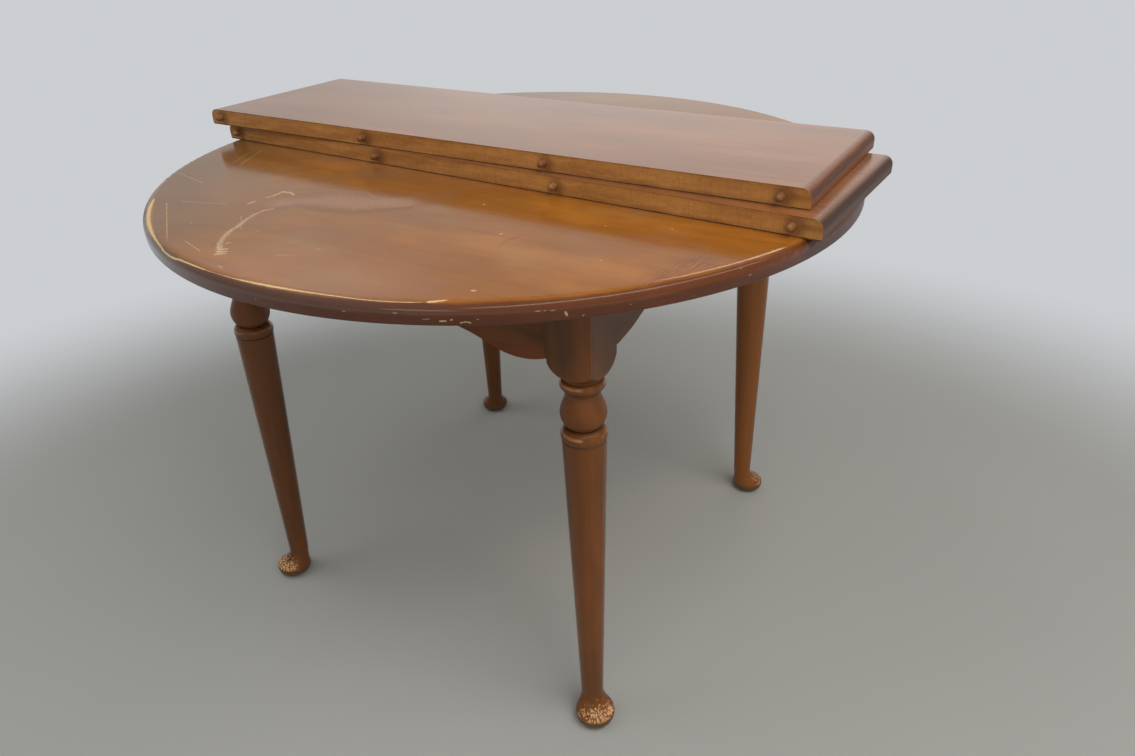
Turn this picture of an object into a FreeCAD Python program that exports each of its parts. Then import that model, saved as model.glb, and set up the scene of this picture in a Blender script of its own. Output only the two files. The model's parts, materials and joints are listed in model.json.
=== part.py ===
"""A round extension dining table in stained maple, closed, with its two loose leaves stacked on it.

The top is a 42 inch disc in two halves that meet at a straight seam. Each half carries its own
two legs and a scalloped three-sided apron, and runs out on a pair of wooden dovetail slides.
Four dowels along each seam edge line the boards up. Each leg is a square post with a turned
shoulder, bead, vase and ring over a slender raked taper, and it ends in an offset pad foot.

Frame: millimetres, origin on the floor midway between the four feet. +X runs along the seam and
the leaves, +Y runs away from the front half, and +Z is up. The halves part along Y.
"""

import FreeCAD
import Part

import math
import os

V = FreeCAD.Vector
X_AXIS = V(1, 0, 0)
Y_AXIS = V(0, 1, 0)
Z_AXIS = V(0, 0, 1)
ORIGIN = V(0, 0, 0)

# ---- Driving dimensions, in millimetres -------------------------------------------------------
INCH = 25.4

TABLE_HEIGHT = 743.0
TOP_DIAMETER = 42 * INCH
BOARD = 1 * INCH                 # thickness of the top and of each leaf
ROUND_OVER = 0.5 * INCH          # big radius along the upper edge
EDGE_EASE = 2.5                  # small radius along the lower edge
SEAM_GAP = 0.4                   # between the two halves when they are shut

LEAF_WIDTH = 12 * INCH
LOWER_LEAF_PLACE = (2.0, 36.0, -2.0)     # centre x, centre y, turn in degrees
UPPER_LEAF_PLACE = (-28.0, 44.0, 0.0)

LEG_CENTRE = 306.0               # post axis, along X and along Y
POST = 62.0                      # square post
POST_SHOULDER_TOP = 616.0        # where the turning starts to round the post's corners
POST_FOOT = 594.5
ANKLE_CENTRE = 319.5             # axis of the raked taper at ANKLE_Z
ANKLE_Z = 50.0
ANKLE_RADIUS = 16.8
TAPER_TOP_RADIUS = 29.2
FOOT_CENTRE = 330.0              # axis of the pad foot
FOOT_RADIUS = 30.0
GLIDE_HEIGHT = 2.0

APRON_THICK = 19.0
APRON_SETBACK = 3.0              # from the face of the post to the face of the apron
APRON_MIDDLE_DEPTH = 68.0
# Scallops of the lower edge, from the post inwards: (distance from the post, depth under the
# top). Each runs out into the straight middle at its end distance.
LONG_LOBE = ((0.0, 97.5), (22.0, 104.5), (46.0, 107.0), (74.0, 103.0), (100.0, 94.0), (124.0, 87.5),
             (150.0, 80.5))
LONG_LOBE_END = 195.0
SIDE_LOBE = ((0.0, 93.5), (22.0, 93.0), (48.0, 88.5), (74.0, 80.5), (98.0, 73.0))
SIDE_LOBE_END = 136.0

SLIDE_TRAVEL = 320.0             # of each half, from the middle rails
RAIL_LENGTH = 600.0
RAIL_WIDTH = 22.0
RAIL_DEPTH = 44.0
RAIL_GAP = 0.6                   # between rails that slide on each other
RAIL_RELIEF = 1.0                # clearance over a rail where it isn't fixed to the top
SLIDE_CENTRE = 160.0             # middle rail, from the centre line
KEY_LENGTH = 260.0
KEY_ROOT = 6.0                   # depth of the key's root in the middle rail
KEY_REACH = 7.3                  # dovetail's depth in the sliding rail
KEY_NECK = 4.0                   # half height at the neck
KEY_FLARE = 6.5                  # half height at the widest
KEY_PLAY = 0.45

PIN_RADIUS = 4.76                # 3/8 inch dowel
PIN_REACH = 13.0
PIN_TIP = 2.2                    # length of the tapered tip
PIN_ROOT = 22.0
PIN_HOLE_RADIUS = PIN_RADIUS + 0.1
PIN_HOLE_DEPTH = 16.0
PIN_SPACING = 335.0
PIN_SHIFT = -5.5                 # of the whole row, from the middle of the board
PIN_PLACES = [PIN_SHIFT + PIN_SPACING * n for n in (-1.5, -0.5, 0.5, 1.5)]

# ---- Worked-out levels ------------------------------------------------------------------------
TOP_RADIUS = TOP_DIAMETER / 2
UNDERSIDE = TABLE_HEIGHT - BOARD
POST_FACE = LEG_CENTRE + POST / 2
POST_BACK = LEG_CENTRE - POST / 2
APRON_FACE = POST_FACE - APRON_SETBACK
APRON_BACK = APRON_FACE - APRON_THICK
RAIL_TOP = UNDERSIDE - RAIL_RELIEF
RAIL_BOTTOM = UNDERSIDE - RAIL_DEPTH
RAIL_MIDDLE = (UNDERSIDE + RAIL_BOTTOM) / 2
MIDDLE_RAIL_BOTTOM = RAIL_BOTTOM - RAIL_GAP
HALF_GAP = SEAM_GAP / 2
RAIL_END = RAIL_LENGTH / 2


# ---- Small helpers ----------------------------------------------------------------------------
def block(x0, x1, y0, y1, z0, z1):
    """A box between two corners."""
    return Part.makeBox(x1 - x0, y1 - y0, z1 - z0, V(x0, y0, z0))


def rod(start, direction, radius, length):
    """A round bar from a point along a direction."""
    return Part.makeCylinder(radius, length, start, direction)


def closed_face(edges):
    """A flat face inside a closed run of edges."""
    return Part.Face(Part.Wire(edges))


def polygon_face(points):
    """A flat face inside a closed polygon."""
    return Part.Face(Part.makePolygon(list(points) + [points[0]]))


def line(a, b):
    """A straight edge."""
    return Part.LineSegment(a, b).toShape()


def arc(a, via, b):
    """A circular edge through three points."""
    return Part.Arc(a, via, b).toShape()


def curve(points, start_tangent, end_tangent):
    """A smooth edge through points, leaving and arriving along the given tangents."""
    spline = Part.BSplineCurve()
    spline.interpolate(Points=points, InitialTangent=start_tangent, FinalTangent=end_tangent)
    return spline.toShape()


def flip_x(shape):
    """The same piece on the other side of the table."""
    return shape.mirror(ORIGIN, X_AXIS)


def flip_y(shape):
    """The same piece on the back half."""
    return shape.mirror(ORIGIN, Y_AXIS)


def save(name, *solids):
    """Writes one node, which may be a group of alike solids."""
    found = [s for shape in solids for s in shape.Solids]
    shape = found[0] if len(found) == 1 else Part.makeCompound(found)
    bad = [n for n, s in enumerate(found) if not s.isValid() or s.Volume <= 0]
    print(f"{name}: {len(found)} solid(s), {shape.Volume / 1000:.1f} cm3{' BAD ' + str(bad) if bad else ''}")
    shape.exportStep(os.path.join("parts", name + ".step"))


# ---- Boards: the two half tops and the leaves -------------------------------------------------
def moulded_edge(outer, low, side):
    """The edge's outline in the XZ plane, from the underside up to the face, on side +1 or -1."""
    high = low + BOARD
    short = 1 - math.sqrt(0.5)

    def point(inset, z):
        return V(side * (outer - inset), 0, z)

    return [
        arc(point(EDGE_EASE, low), point(EDGE_EASE * short, low + EDGE_EASE * short),
            point(0, low + EDGE_EASE)),
        line(point(0, low + EDGE_EASE), point(0, high - ROUND_OVER)),
        arc(point(0, high - ROUND_OVER), point(ROUND_OVER * short, high - ROUND_OVER * short),
            point(ROUND_OVER, high)),
    ]


def board_section(outer, low, whole):
    """A board's section in the XZ plane: its right half from the axis, or the whole width."""
    high = low + BOARD
    inner = EDGE_EASE - outer if whole else 0.0
    inner_top = ROUND_OVER - outer if whole else 0.0
    edges = moulded_edge(outer, low, 1)
    edges += moulded_edge(outer, low, -1) if whole else [line(V(0, 0, low), V(0, 0, high))]
    edges.append(line(V(inner, 0, low), V(outer - EDGE_EASE, 0, low)))
    edges.append(line(V(inner_top, 0, high), V(outer - ROUND_OVER, 0, high)))
    return Part.Face(Part.Wire(Part.sortEdges(edges)[0]))


def half_disc():
    """The front half of the round top, up to the seam."""
    disc = board_section(TOP_RADIUS, UNDERSIDE, False).revolve(ORIGIN, Z_AXIS, 360)
    reach = TOP_RADIUS + 10
    return disc.cut(block(-reach, reach, -HALF_GAP, reach, UNDERSIDE - 10, TABLE_HEIGHT + 10))


def pin(x, y, z):
    """A dowel pin along Y with its tip towards -Y; y is the face that it stands out of."""
    tip = Part.makeCone(PIN_RADIUS - PIN_TIP, PIN_RADIUS, PIN_TIP, V(x, y - PIN_REACH, z), Y_AXIS)
    length = PIN_REACH - PIN_TIP + PIN_ROOT
    shank = rod(V(x, y - PIN_REACH + PIN_TIP, z), Y_AXIS, PIN_RADIUS, length)
    return shank.fuse(tip).removeSplitter()


def pins_at(y, z):
    """The row of four pins along a seam edge."""
    return [pin(x, y, z) for x in PIN_PLACES]


def pin_roots(y, z):
    """The glued holes that the pins' roots fill, inside the board behind the edge at y."""
    return [rod(V(x, y, z), Y_AXIS, PIN_RADIUS, PIN_ROOT) for x in PIN_PLACES]


def pin_holes(y, z, direction):
    """The open sockets that another board's pins enter; direction points into the board."""
    return [rod(V(x, y, z), direction, PIN_HOLE_RADIUS, PIN_HOLE_DEPTH) for x in PIN_PLACES]


def leaf(place, low):
    """A loose leaf, as its board and its four pins, turned and set down at a height."""
    board = board_section(TOP_RADIUS, low, True).extrude(V(0, LEAF_WIDTH, 0))
    board.translate(V(0, -LEAF_WIDTH / 2, 0))
    middle = low + BOARD / 2
    for hole in pin_roots(-LEAF_WIDTH / 2, middle) + pin_holes(LEAF_WIDTH / 2, middle, -Y_AXIS):
        board = board.cut(hole)
    pins = Part.makeCompound(pins_at(-LEAF_WIDTH / 2, middle))
    x, y, turn = place
    for shape in (board, pins):
        shape.rotate(ORIGIN, Z_AXIS, turn)
        shape.translate(V(x, y, 0))
    return board, pins


# ---- Legs -------------------------------------------------------------------------------------
NECK_RADIUS = 24.0
BEAD_TOP, BEAD_LOW, BEAD_RADIUS = 589.0, 574.5, 29.0
VASE_TOP, VASE_WIDEST, VASE_LOW = 571.5, 540.0, 522.5
VASE_RADIUS = 30.0
COVE_Z, COVE_RADIUS = 563.0, 23.0        # the narrowest place between bead and vase
WAIST_RADIUS = 21.0                      # under the vase
RING_TOP, RING_LOW, RING_RADIUS = 520.5, 504.0, 30.0
SCRIBE = 0.9                             # depth, and half width, of the scribed line
TAPER_TOP = RING_LOW - 2 * SCRIBE

RAKE_RUN = POST_FOOT - ANKLE_Z
RAKE_SPREAD = math.sqrt(2) * (ANKLE_CENTRE - LEG_CENTRE)
RAKE = math.degrees(math.atan2(RAKE_SPREAD, RAKE_RUN))


def taper_radius(z):
    """Radius of the tapering shaft at a height."""
    share = (z - ANKLE_Z) / (TAPER_TOP - ANKLE_Z)
    return ANKLE_RADIUS + share * (TAPER_TOP_RADIUS - ANKLE_RADIUS)


def turned_section():
    """Half section of the turning in the XZ plane, with the axis at x = 0, down to the ankle."""
    bead_end = BEAD_RADIUS - 5.5
    ring_end = RING_RADIUS - 6.5
    ring_foot = RING_RADIUS - 0.8
    vase = [V(WAIST_RADIUS, 0, VASE_LOW), V(27.0, 0, VASE_LOW + 6.0), V(VASE_RADIUS, 0, VASE_WIDEST),
            V(26.8, 0, VASE_WIDEST + 14.0), V(COVE_RADIUS, 0, COVE_Z), V(bead_end, 0, VASE_TOP)]
    run = [V(0, 0, ANKLE_Z), V(ANKLE_RADIUS, 0, ANKLE_Z), V(TAPER_TOP_RADIUS, 0, TAPER_TOP),
           V(ring_foot - SCRIBE, 0, RING_LOW - SCRIBE), V(ring_foot, 0, RING_LOW)]
    edges = [line(a, b) for a, b in zip(run, run[1:])]
    edges.append(arc(run[-1], V(RING_RADIUS - 0.6, 0, RING_LOW + 10.5), V(ring_end, 0, RING_TOP)))
    edges.append(line(V(ring_end, 0, RING_TOP), V(WAIST_RADIUS, 0, RING_TOP)))
    edges.append(line(V(WAIST_RADIUS, 0, RING_TOP), vase[0]))
    edges.append(curve(vase, V(1.0, 0, 0.25), V(0.2, 0, 0.98)))
    edges.append(line(vase[-1], V(bead_end, 0, BEAD_LOW)))
    edges.append(arc(V(bead_end, 0, BEAD_LOW), V(BEAD_RADIUS, 0, (BEAD_TOP + BEAD_LOW) / 2),
                     V(bead_end, 0, BEAD_TOP)))
    neck = [V(bead_end, 0, BEAD_TOP), V(NECK_RADIUS, 0, BEAD_TOP),
            V(NECK_RADIUS, 0, POST_FOOT + 1.5), V(0, 0, POST_FOOT + 1.5), V(0, 0, ANKLE_Z)]
    edges += [line(a, b) for a, b in zip(neck, neck[1:])]
    return closed_face(edges)


def shoulder_section():
    """Half section of what the turning leaves of the square post, with the axis at x = 0."""
    corner = POST / math.sqrt(2)
    low = NECK_RADIUS + 1.3
    return closed_face([
        line(V(0, 0, POST_FOOT), V(low, 0, POST_FOOT)),
        arc(V(low, 0, POST_FOOT), V(corner - 6.3, 0, POST_FOOT + 9.0),
            V(corner, 0, POST_SHOULDER_TOP)),
        line(V(corner, 0, POST_SHOULDER_TOP), V(corner + 5, 0, POST_SHOULDER_TOP + 4)),
        line(V(corner + 5, 0, POST_SHOULDER_TOP + 4), V(corner + 5, 0, UNDERSIDE)),
        line(V(corner + 5, 0, UNDERSIDE), V(0, 0, UNDERSIDE)),
        line(V(0, 0, UNDERSIDE), V(0, 0, POST_FOOT)),
    ])


# The pad foot's level rings: (height, radius, share of the way from the ankle's axis to the
# foot's axis). The heel side runs straight down from the ankle, and the toe stands out.
FOOT_RINGS = ((40.0, 17.3, 0.10), (32.0, 20.0, 0.30), (26.5, 23.6, 0.58), (22.5, 27.0, 0.84),
              (18.5, 29.3, 0.98), (13.5, FOOT_RADIUS, 1.0), (8.0, 29.0, 1.0), (4.5, 26.8, 1.0),
              (GLIDE_HEIGHT, 23.5, 1.0))


def rake_leg(shape):
    """Leans a piece of the leg outwards about the foot of the post."""
    shape.rotate(V(0, 0, POST_FOOT), V(-1, -1, 0), RAKE)
    return shape


def ring_wire(radius, z):
    """A level circle about the leg's axis."""
    return Part.Wire(Part.makeCircle(radius, V(0, 0, z), Z_AXIS))


def pad_foot():
    """The ankle's flare and the offset pad, lofted through rings below the raked taper."""
    rings = [rake_leg(ring_wire(ANKLE_RADIUS, ANKLE_Z)),
             rake_leg(ring_wire(taper_radius(ANKLE_Z - 3), ANKLE_Z - 3))]
    for z, radius, share in FOOT_RINGS:
        ankle = (ANKLE_CENTRE - LEG_CENTRE) * (POST_FOOT - z) / RAKE_RUN
        offset = ankle + share * (FOOT_CENTRE - LEG_CENTRE - ankle)
        ring = ring_wire(radius, z)
        ring.translate(V(offset, -offset, 0))
        rings.append(ring)
    return Part.makeLoft(rings, True, False)


def leg():
    """The front right leg as one piece of wood: post, turning, raked taper and pad foot."""
    post = block(-POST / 2, POST / 2, -POST / 2, POST / 2, POST_FOOT, UNDERSIDE)
    post = post.common(shoulder_section().revolve(ORIGIN, Z_AXIS, 360))
    flat = 9.0                    # flat on the inner corner, where the hanger bolt enters
    corner = V(-POST / 2, POST / 2, 640)
    cutter = polygon_face([corner + V(-1, 1, 0), corner + V(flat, 1, 0),
                           corner + V(-1, -flat, 0)]).extrude(V(0, 0, 100))
    turning = rake_leg(turned_section().revolve(ORIGIN, Z_AXIS, 360))
    whole = turning.fuse(pad_foot()).fuse(post.cut(cutter)).removeSplitter()
    whole.translate(V(LEG_CENTRE, -LEG_CENTRE, 0))
    return whole


# ---- Aprons, corner blocks and glue blocks ----------------------------------------------------
def scallop(lobe, lobe_end, start, way):
    """An apron's lower edge from the post at `start`, heading `way` (+1 or -1) along X."""
    points = [V(start + way * d, 0, UNDERSIDE - depth) for d, depth in lobe]
    points.append(V(start + way * lobe_end, 0, UNDERSIDE - APRON_MIDDLE_DEPTH))
    return curve(points, V(way * 0.93, 0, -0.36), V(way, 0, 0))


def apron_board(lobe, lobe_end, start, end, both_ends):
    """An apron in the XZ plane, 0 to APRON_THICK along Y, with a scallop at start and, if
    asked, another at end."""
    low = UNDERSIDE - APRON_MIDDLE_DEPTH
    post_low = UNDERSIDE - lobe[0][1]
    edges = [scallop(lobe, lobe_end, start, 1)]
    if both_ends:
        edges.append(line(V(start + lobe_end, 0, low), V(end - lobe_end, 0, low)))
        edges.append(scallop(lobe, lobe_end, end, -1))
        edges.append(line(V(end, 0, post_low), V(end, 0, UNDERSIDE)))
    else:
        edges.append(line(V(start + lobe_end, 0, low), V(end, 0, low)))
        edges.append(line(V(end, 0, low), V(end, 0, UNDERSIDE)))
    edges.append(line(V(end, 0, UNDERSIDE), V(start, 0, UNDERSIDE)))
    edges.append(line(V(start, 0, UNDERSIDE), V(start, 0, post_low)))
    return Part.Face(Part.Wire(Part.sortEdges(edges)[0])).extrude(V(0, APRON_THICK, 0))


def long_apron():
    """The front apron, between the two front posts."""
    board = apron_board(LONG_LOBE, LONG_LOBE_END, -POST_BACK, POST_BACK, True)
    board.translate(V(0, -APRON_FACE, 0))
    return board


def side_apron():
    """The right side apron of the front half, from the post to the seam."""
    board = apron_board(SIDE_LOBE, SIDE_LOBE_END, -POST_BACK, -HALF_GAP, False)
    board.rotate(ORIGIN, Z_AXIS, 90)
    board.translate(V(APRON_FACE, 0, 0))
    return board


BLOCK_FACE = 386.0 * math.sqrt(2)        # x - y on the corner block's face towards the leg
BLOCK_BACK = 364.0 * math.sqrt(2)
BLOCK_LOW, BLOCK_HIGH = 656.0, 706.0
BOLT_Z = 684.0
BOLT_RADIUS = 4.0
SCREW_Z = (668.0, 696.0)


def corner_block():
    """The diagonal block that braces the front right corner and takes the leg's hanger bolt."""
    a = APRON_BACK
    return polygon_face([
        V(BLOCK_FACE - a, -a, BLOCK_LOW), V(a, a - BLOCK_FACE, BLOCK_LOW),
        V(a, a - BLOCK_BACK, BLOCK_LOW), V(BLOCK_BACK - a, -a, BLOCK_LOW),
    ]).extrude(V(0, 0, BLOCK_HIGH - BLOCK_LOW))


INWARD = V(-1, 1, 0).normalize()         # from the front right leg to the middle of the table
BOLT_INNER = 20.0                        # the bolt's reach past the block's back


def diagonal_point(distance, z):
    """A point on the front right diagonal, at a distance from the table's centre line."""
    side = distance / math.sqrt(2)
    return V(side, -side, z)


def hanger_bolt():
    """The bolt from inside the post to past the corner block."""
    inner = BLOCK_BACK / math.sqrt(2) - BOLT_INNER
    outer = math.sqrt(2) * LEG_CENTRE + 8
    return rod(diagonal_point(outer, BOLT_Z), INWARD, BOLT_RADIUS, outer - inner)


def bolt_hole(radius):
    """A hole for the hanger bolt, long enough for the post and the block."""
    outer = math.sqrt(2) * LEG_CENTRE + 8
    return rod(diagonal_point(outer, BOLT_Z), INWARD, radius, 120)


WASHER_THICK = 1.6
NUT_HEIGHT = 6.5


def washer():
    """A flat washer on the corner block's back."""
    start = diagonal_point(BLOCK_BACK / math.sqrt(2), BOLT_Z)
    return rod(start, INWARD, 9.0, WASHER_THICK).cut(rod(start, INWARD, 4.3, WASHER_THICK))


def hex_nut():
    """The nut that draws the leg home."""
    corner_radius = 0.5 * INCH / math.sqrt(3)
    start = diagonal_point(BLOCK_BACK / math.sqrt(2) - WASHER_THICK, BOLT_Z)
    side = V(1, 1, 0).normalize()
    turns = [math.radians(60 * n) for n in range(6)]
    points = [start + side * (corner_radius * math.cos(t)) + Z_AXIS * (corner_radius * math.sin(t))
              for t in turns]
    nut = polygon_face(points).extrude(INWARD * NUT_HEIGHT)
    return nut.cut(rod(start, INWARD, BOLT_RADIUS + 0.05, NUT_HEIGHT))


def wood_screw(start, direction, length, radius=2.0, head_radius=4.2, head=2.8):
    """A round-head wood screw; start is the seat under its head, direction its way in."""
    shank = rod(start, direction, radius, length - 4)
    point = Part.makeCone(radius, 0.4, 4, start + direction * (length - 4), direction)
    cap = Part.makeCone(head_radius * 0.65, head_radius, head, start - direction * head, direction)
    return shank.fuse([point, cap]).removeSplitter()


def screw_hole(start, direction, length, radius=2.05, head_radius=5.0, above=12.0):
    """Pilot hole and counterbore for a wood screw."""
    pilot = rod(start, direction, radius, length)
    return pilot.fuse(rod(start - direction * above, direction, head_radius, above)).removeSplitter()


BLOCK_SCREW_SIDE = 216.0                 # where the corner block's screws enter the front apron
BLOCK_SCREW_SEAT = 303.0
BLOCK_SCREW_LENGTH = 25.0


def corner_screw_seats():
    """Start point and direction of each of the corner block's screws."""
    for z in SCREW_Z:
        yield V(BLOCK_SCREW_SIDE, -BLOCK_SCREW_SEAT, z), V(0, -1, 0)
        yield V(BLOCK_SCREW_SEAT, -BLOCK_SCREW_SIDE, z), V(1, 0, 0)


GLUE_BLOCK = 20.0


def glue_blocks():
    """Blocks in the angle of apron and top: two on the front apron, one on each side apron."""
    low = UNDERSIDE - GLUE_BLOCK
    a = APRON_BACK
    front = block(24, 104, -a, -a + GLUE_BLOCK, low, UNDERSIDE)
    side = block(a - GLUE_BLOCK, a, -165, -85, low, UNDERSIDE)
    return [front, flip_x(front), side, flip_x(side)]


# ---- Slides -----------------------------------------------------------------------------------
def dovetail(x, way, length, y, play):
    """A dovetail bar along Y, standing `way` along X out of the plane at x."""
    neck, flare, reach = KEY_NECK + play, KEY_FLARE + play, KEY_REACH + play
    return polygon_face([
        V(x, y, RAIL_MIDDLE - neck), V(x + way * reach, y, RAIL_MIDDLE - flare),
        V(x + way * reach, y, RAIL_MIDDLE + flare), V(x, y, RAIL_MIDDLE + neck),
    ]).extrude(V(0, length, 0))


OUTER_FACE = SLIDE_CENTRE + RAIL_WIDTH / 2      # of the right middle rail
INNER_FACE = SLIDE_CENTRE - RAIL_WIDTH / 2
KEY_END = 30.0                                  # a key's end nearest the seam
STOP_LENGTH = RAIL_END - SLIDE_TRAVEL + KEY_END # stop block at the far end of a sliding rail
RAIL_SCREW_PLACES = (-270.0, -150.0, -30.0)


def middle_rail():
    """The right middle rail, with a slot for each key's root."""
    rail = block(INNER_FACE, OUTER_FACE, -RAIL_END, RAIL_END, MIDDLE_RAIL_BOTTOM, RAIL_TOP)
    z0, z1 = RAIL_MIDDLE - KEY_NECK, RAIL_MIDDLE + KEY_NECK
    far = KEY_END + KEY_LENGTH
    outer = block(OUTER_FACE - KEY_ROOT, OUTER_FACE, -far, -KEY_END, z0, z1)
    inner = block(INNER_FACE, INNER_FACE + KEY_ROOT, KEY_END, far, z0, z1)
    return rail.cut(outer).cut(inner)


def slide_keys():
    """The right middle rail's two hardwood keys: outer for the front half, inner for the back."""
    z0, z1 = RAIL_MIDDLE - KEY_NECK, RAIL_MIDDLE + KEY_NECK
    far = KEY_END + KEY_LENGTH
    root = block(OUTER_FACE - KEY_ROOT, OUTER_FACE, -far, -KEY_END, z0, z1)
    outer = root.fuse(dovetail(OUTER_FACE, 1, KEY_LENGTH, -far, 0)).removeSplitter()
    root = block(INNER_FACE, INNER_FACE + KEY_ROOT, KEY_END, far, z0, z1)
    inner = root.fuse(dovetail(INNER_FACE, -1, KEY_LENGTH, KEY_END, 0)).removeSplitter()
    return [outer, inner]


def sliding_rail(near, way):
    """A rail that runs on a key. near is its face towards the middle rail, and way points from
    that face into the rail. As drawn it belongs to the front half, and its top is relieved
    where it passes under the back half."""
    x0, x1 = sorted((near, near + way * RAIL_WIDTH))
    rail = block(x0, x1, -RAIL_END, RAIL_END, RAIL_BOTTOM, RAIL_TOP)
    rail = rail.fuse(block(x0, x1, -RAIL_END, -8, RAIL_TOP, UNDERSIDE)).removeSplitter()
    rail = rail.cut(dovetail(near, way, RAIL_LENGTH, -RAIL_END, KEY_PLAY))
    for seat in rail_screw_seats(near, way):
        rail = rail.cut(screw_hole(seat, Z_AXIS, 50, radius=2.3))
    return rail


def rail_screw_seats(near, way):
    """Where the heads of a sliding rail's screws seat, clear of its dovetail groove."""
    return [V(near + way * 15.0, y, RAIL_BOTTOM + 10) for y in RAIL_SCREW_PLACES]


RAIL_SCREW_LENGTH = UNDERSIDE - (RAIL_BOTTOM + 10) + 15


def rail_screws(near, way):
    """The screws that hold a sliding rail up to its half of the top."""
    return [wood_screw(seat, Z_AXIS, RAIL_SCREW_LENGTH) for seat in rail_screw_seats(near, way)]


def rail_stop(near, way):
    """The block at the far end of the groove that meets the key at full travel."""
    return dovetail(near, way, STOP_LENGTH, RAIL_END - STOP_LENGTH, KEY_PLAY)


TIE_WIDTH, TIE_THICK = 64.0, 16.0
TIE_SCREW_X = SLIDE_CENTRE
TIE_SCREWS = [V(TIE_SCREW_X, y, MIDDLE_RAIL_BOTTOM - TIE_THICK) for y in (-18.0, 18.0)]


def tie():
    """The cross tie under the two middle rails."""
    bar = block(-OUTER_FACE, OUTER_FACE, -TIE_WIDTH / 2, TIE_WIDTH / 2,
                MIDDLE_RAIL_BOTTOM - TIE_THICK, MIDDLE_RAIL_BOTTOM)
    for seat in TIE_SCREWS:
        hole = rod(seat, Z_AXIS, 2.05, TIE_THICK)
        bar = bar.cut(hole).cut(flip_x(hole))
    return bar


# ---- Seam catches: a flat tongue on the back half enters a spring sleeve on the front half ----
CATCH_X = 252.0
SLEEVE_HALF, SLEEVE_LENGTH, SLEEVE_WALL = 15.0, 30.0, 1.2
SLEEVE_DROP = 6.0
TONGUE_HALF, TONGUE_THICK = 13.0, 2.0
TONGUE_TOP = UNDERSIDE - 2.0
FLANGE = 14.0
SLEEVE_Y = -SLEEVE_LENGTH - 2


def catch_sleeve():
    """The right sleeve: a flat tube along Y with a screw flange each side."""
    outer = block(CATCH_X - SLEEVE_HALF - SLEEVE_WALL, CATCH_X + SLEEVE_HALF + SLEEVE_WALL,
                  SLEEVE_Y, -2, UNDERSIDE - SLEEVE_DROP, UNDERSIDE)
    window = block(CATCH_X - SLEEVE_HALF, CATCH_X + SLEEVE_HALF, SLEEVE_Y - 1, -1,
                   UNDERSIDE - SLEEVE_DROP + SLEEVE_WALL, UNDERSIDE - SLEEVE_WALL)
    reach = SLEEVE_HALF + SLEEVE_WALL + FLANGE
    flange = block(CATCH_X - reach, CATCH_X + reach, SLEEVE_Y + 6, -8,
                   UNDERSIDE - SLEEVE_WALL, UNDERSIDE)
    sleeve = outer.fuse(flange).removeSplitter().cut(window)
    for seat in sleeve_screw_seats():
        sleeve = sleeve.cut(rod(seat, Z_AXIS, 1.65, 5))
    return sleeve


def sleeve_screw_seats():
    """Undersides of the sleeve's two flanges, where its screws go in."""
    reach = SLEEVE_HALF + SLEEVE_WALL + FLANGE / 2
    return [V(CATCH_X + side * reach, SLEEVE_Y + SLEEVE_LENGTH / 2, UNDERSIDE - SLEEVE_WALL)
            for side in (-1, 1)]


def catch_tongue():
    """The right tongue, on a packing plate under the back half, reaching over the seam."""
    tongue = block(CATCH_X - TONGUE_HALF, CATCH_X + TONGUE_HALF, -26, 34,
                   TONGUE_TOP - TONGUE_THICK, TONGUE_TOP)
    packing = block(CATCH_X - TONGUE_HALF, CATCH_X + TONGUE_HALF, 4, 34, TONGUE_TOP, UNDERSIDE)
    tongue = tongue.fuse(packing).removeSplitter()
    for seat in tongue_screw_seats():
        tongue = tongue.cut(rod(seat, Z_AXIS, 1.65, 8))
    return tongue


def tongue_screw_seats():
    """Underside of the tongue, where its two screws go in."""
    return [V(CATCH_X + x, 20, TONGUE_TOP - TONGUE_THICK) for x in (-7.0, 7.0)]


def catch_screw(seat):
    """A small screw up through a catch into the top."""
    return wood_screw(seat, Z_AXIS, 14, radius=1.6, head_radius=3.2, head=1.8)


# ---- Foot glides ------------------------------------------------------------------------------
def glide():
    """A nailed steel glide under the front right foot."""
    disc = rod(V(FOOT_CENTRE, -FOOT_CENTRE, 0), Z_AXIS, 12.0, GLIDE_HEIGHT)
    rim = [e for e in disc.Edges if abs(e.BoundBox.ZMax) < 0.01 and e.Length > 10]
    nail = rod(V(FOOT_CENTRE, -FOOT_CENTRE, 1), Z_AXIS, 1.2, 15)
    return disc.makeChamfer(0.8, rim).fuse(nail).removeSplitter()


# ---- Assembly ---------------------------------------------------------------------------------
def drill(shape, holes):
    """shape with each hole cut out of it."""
    return shape.cut(Part.makeCompound(holes))


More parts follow.
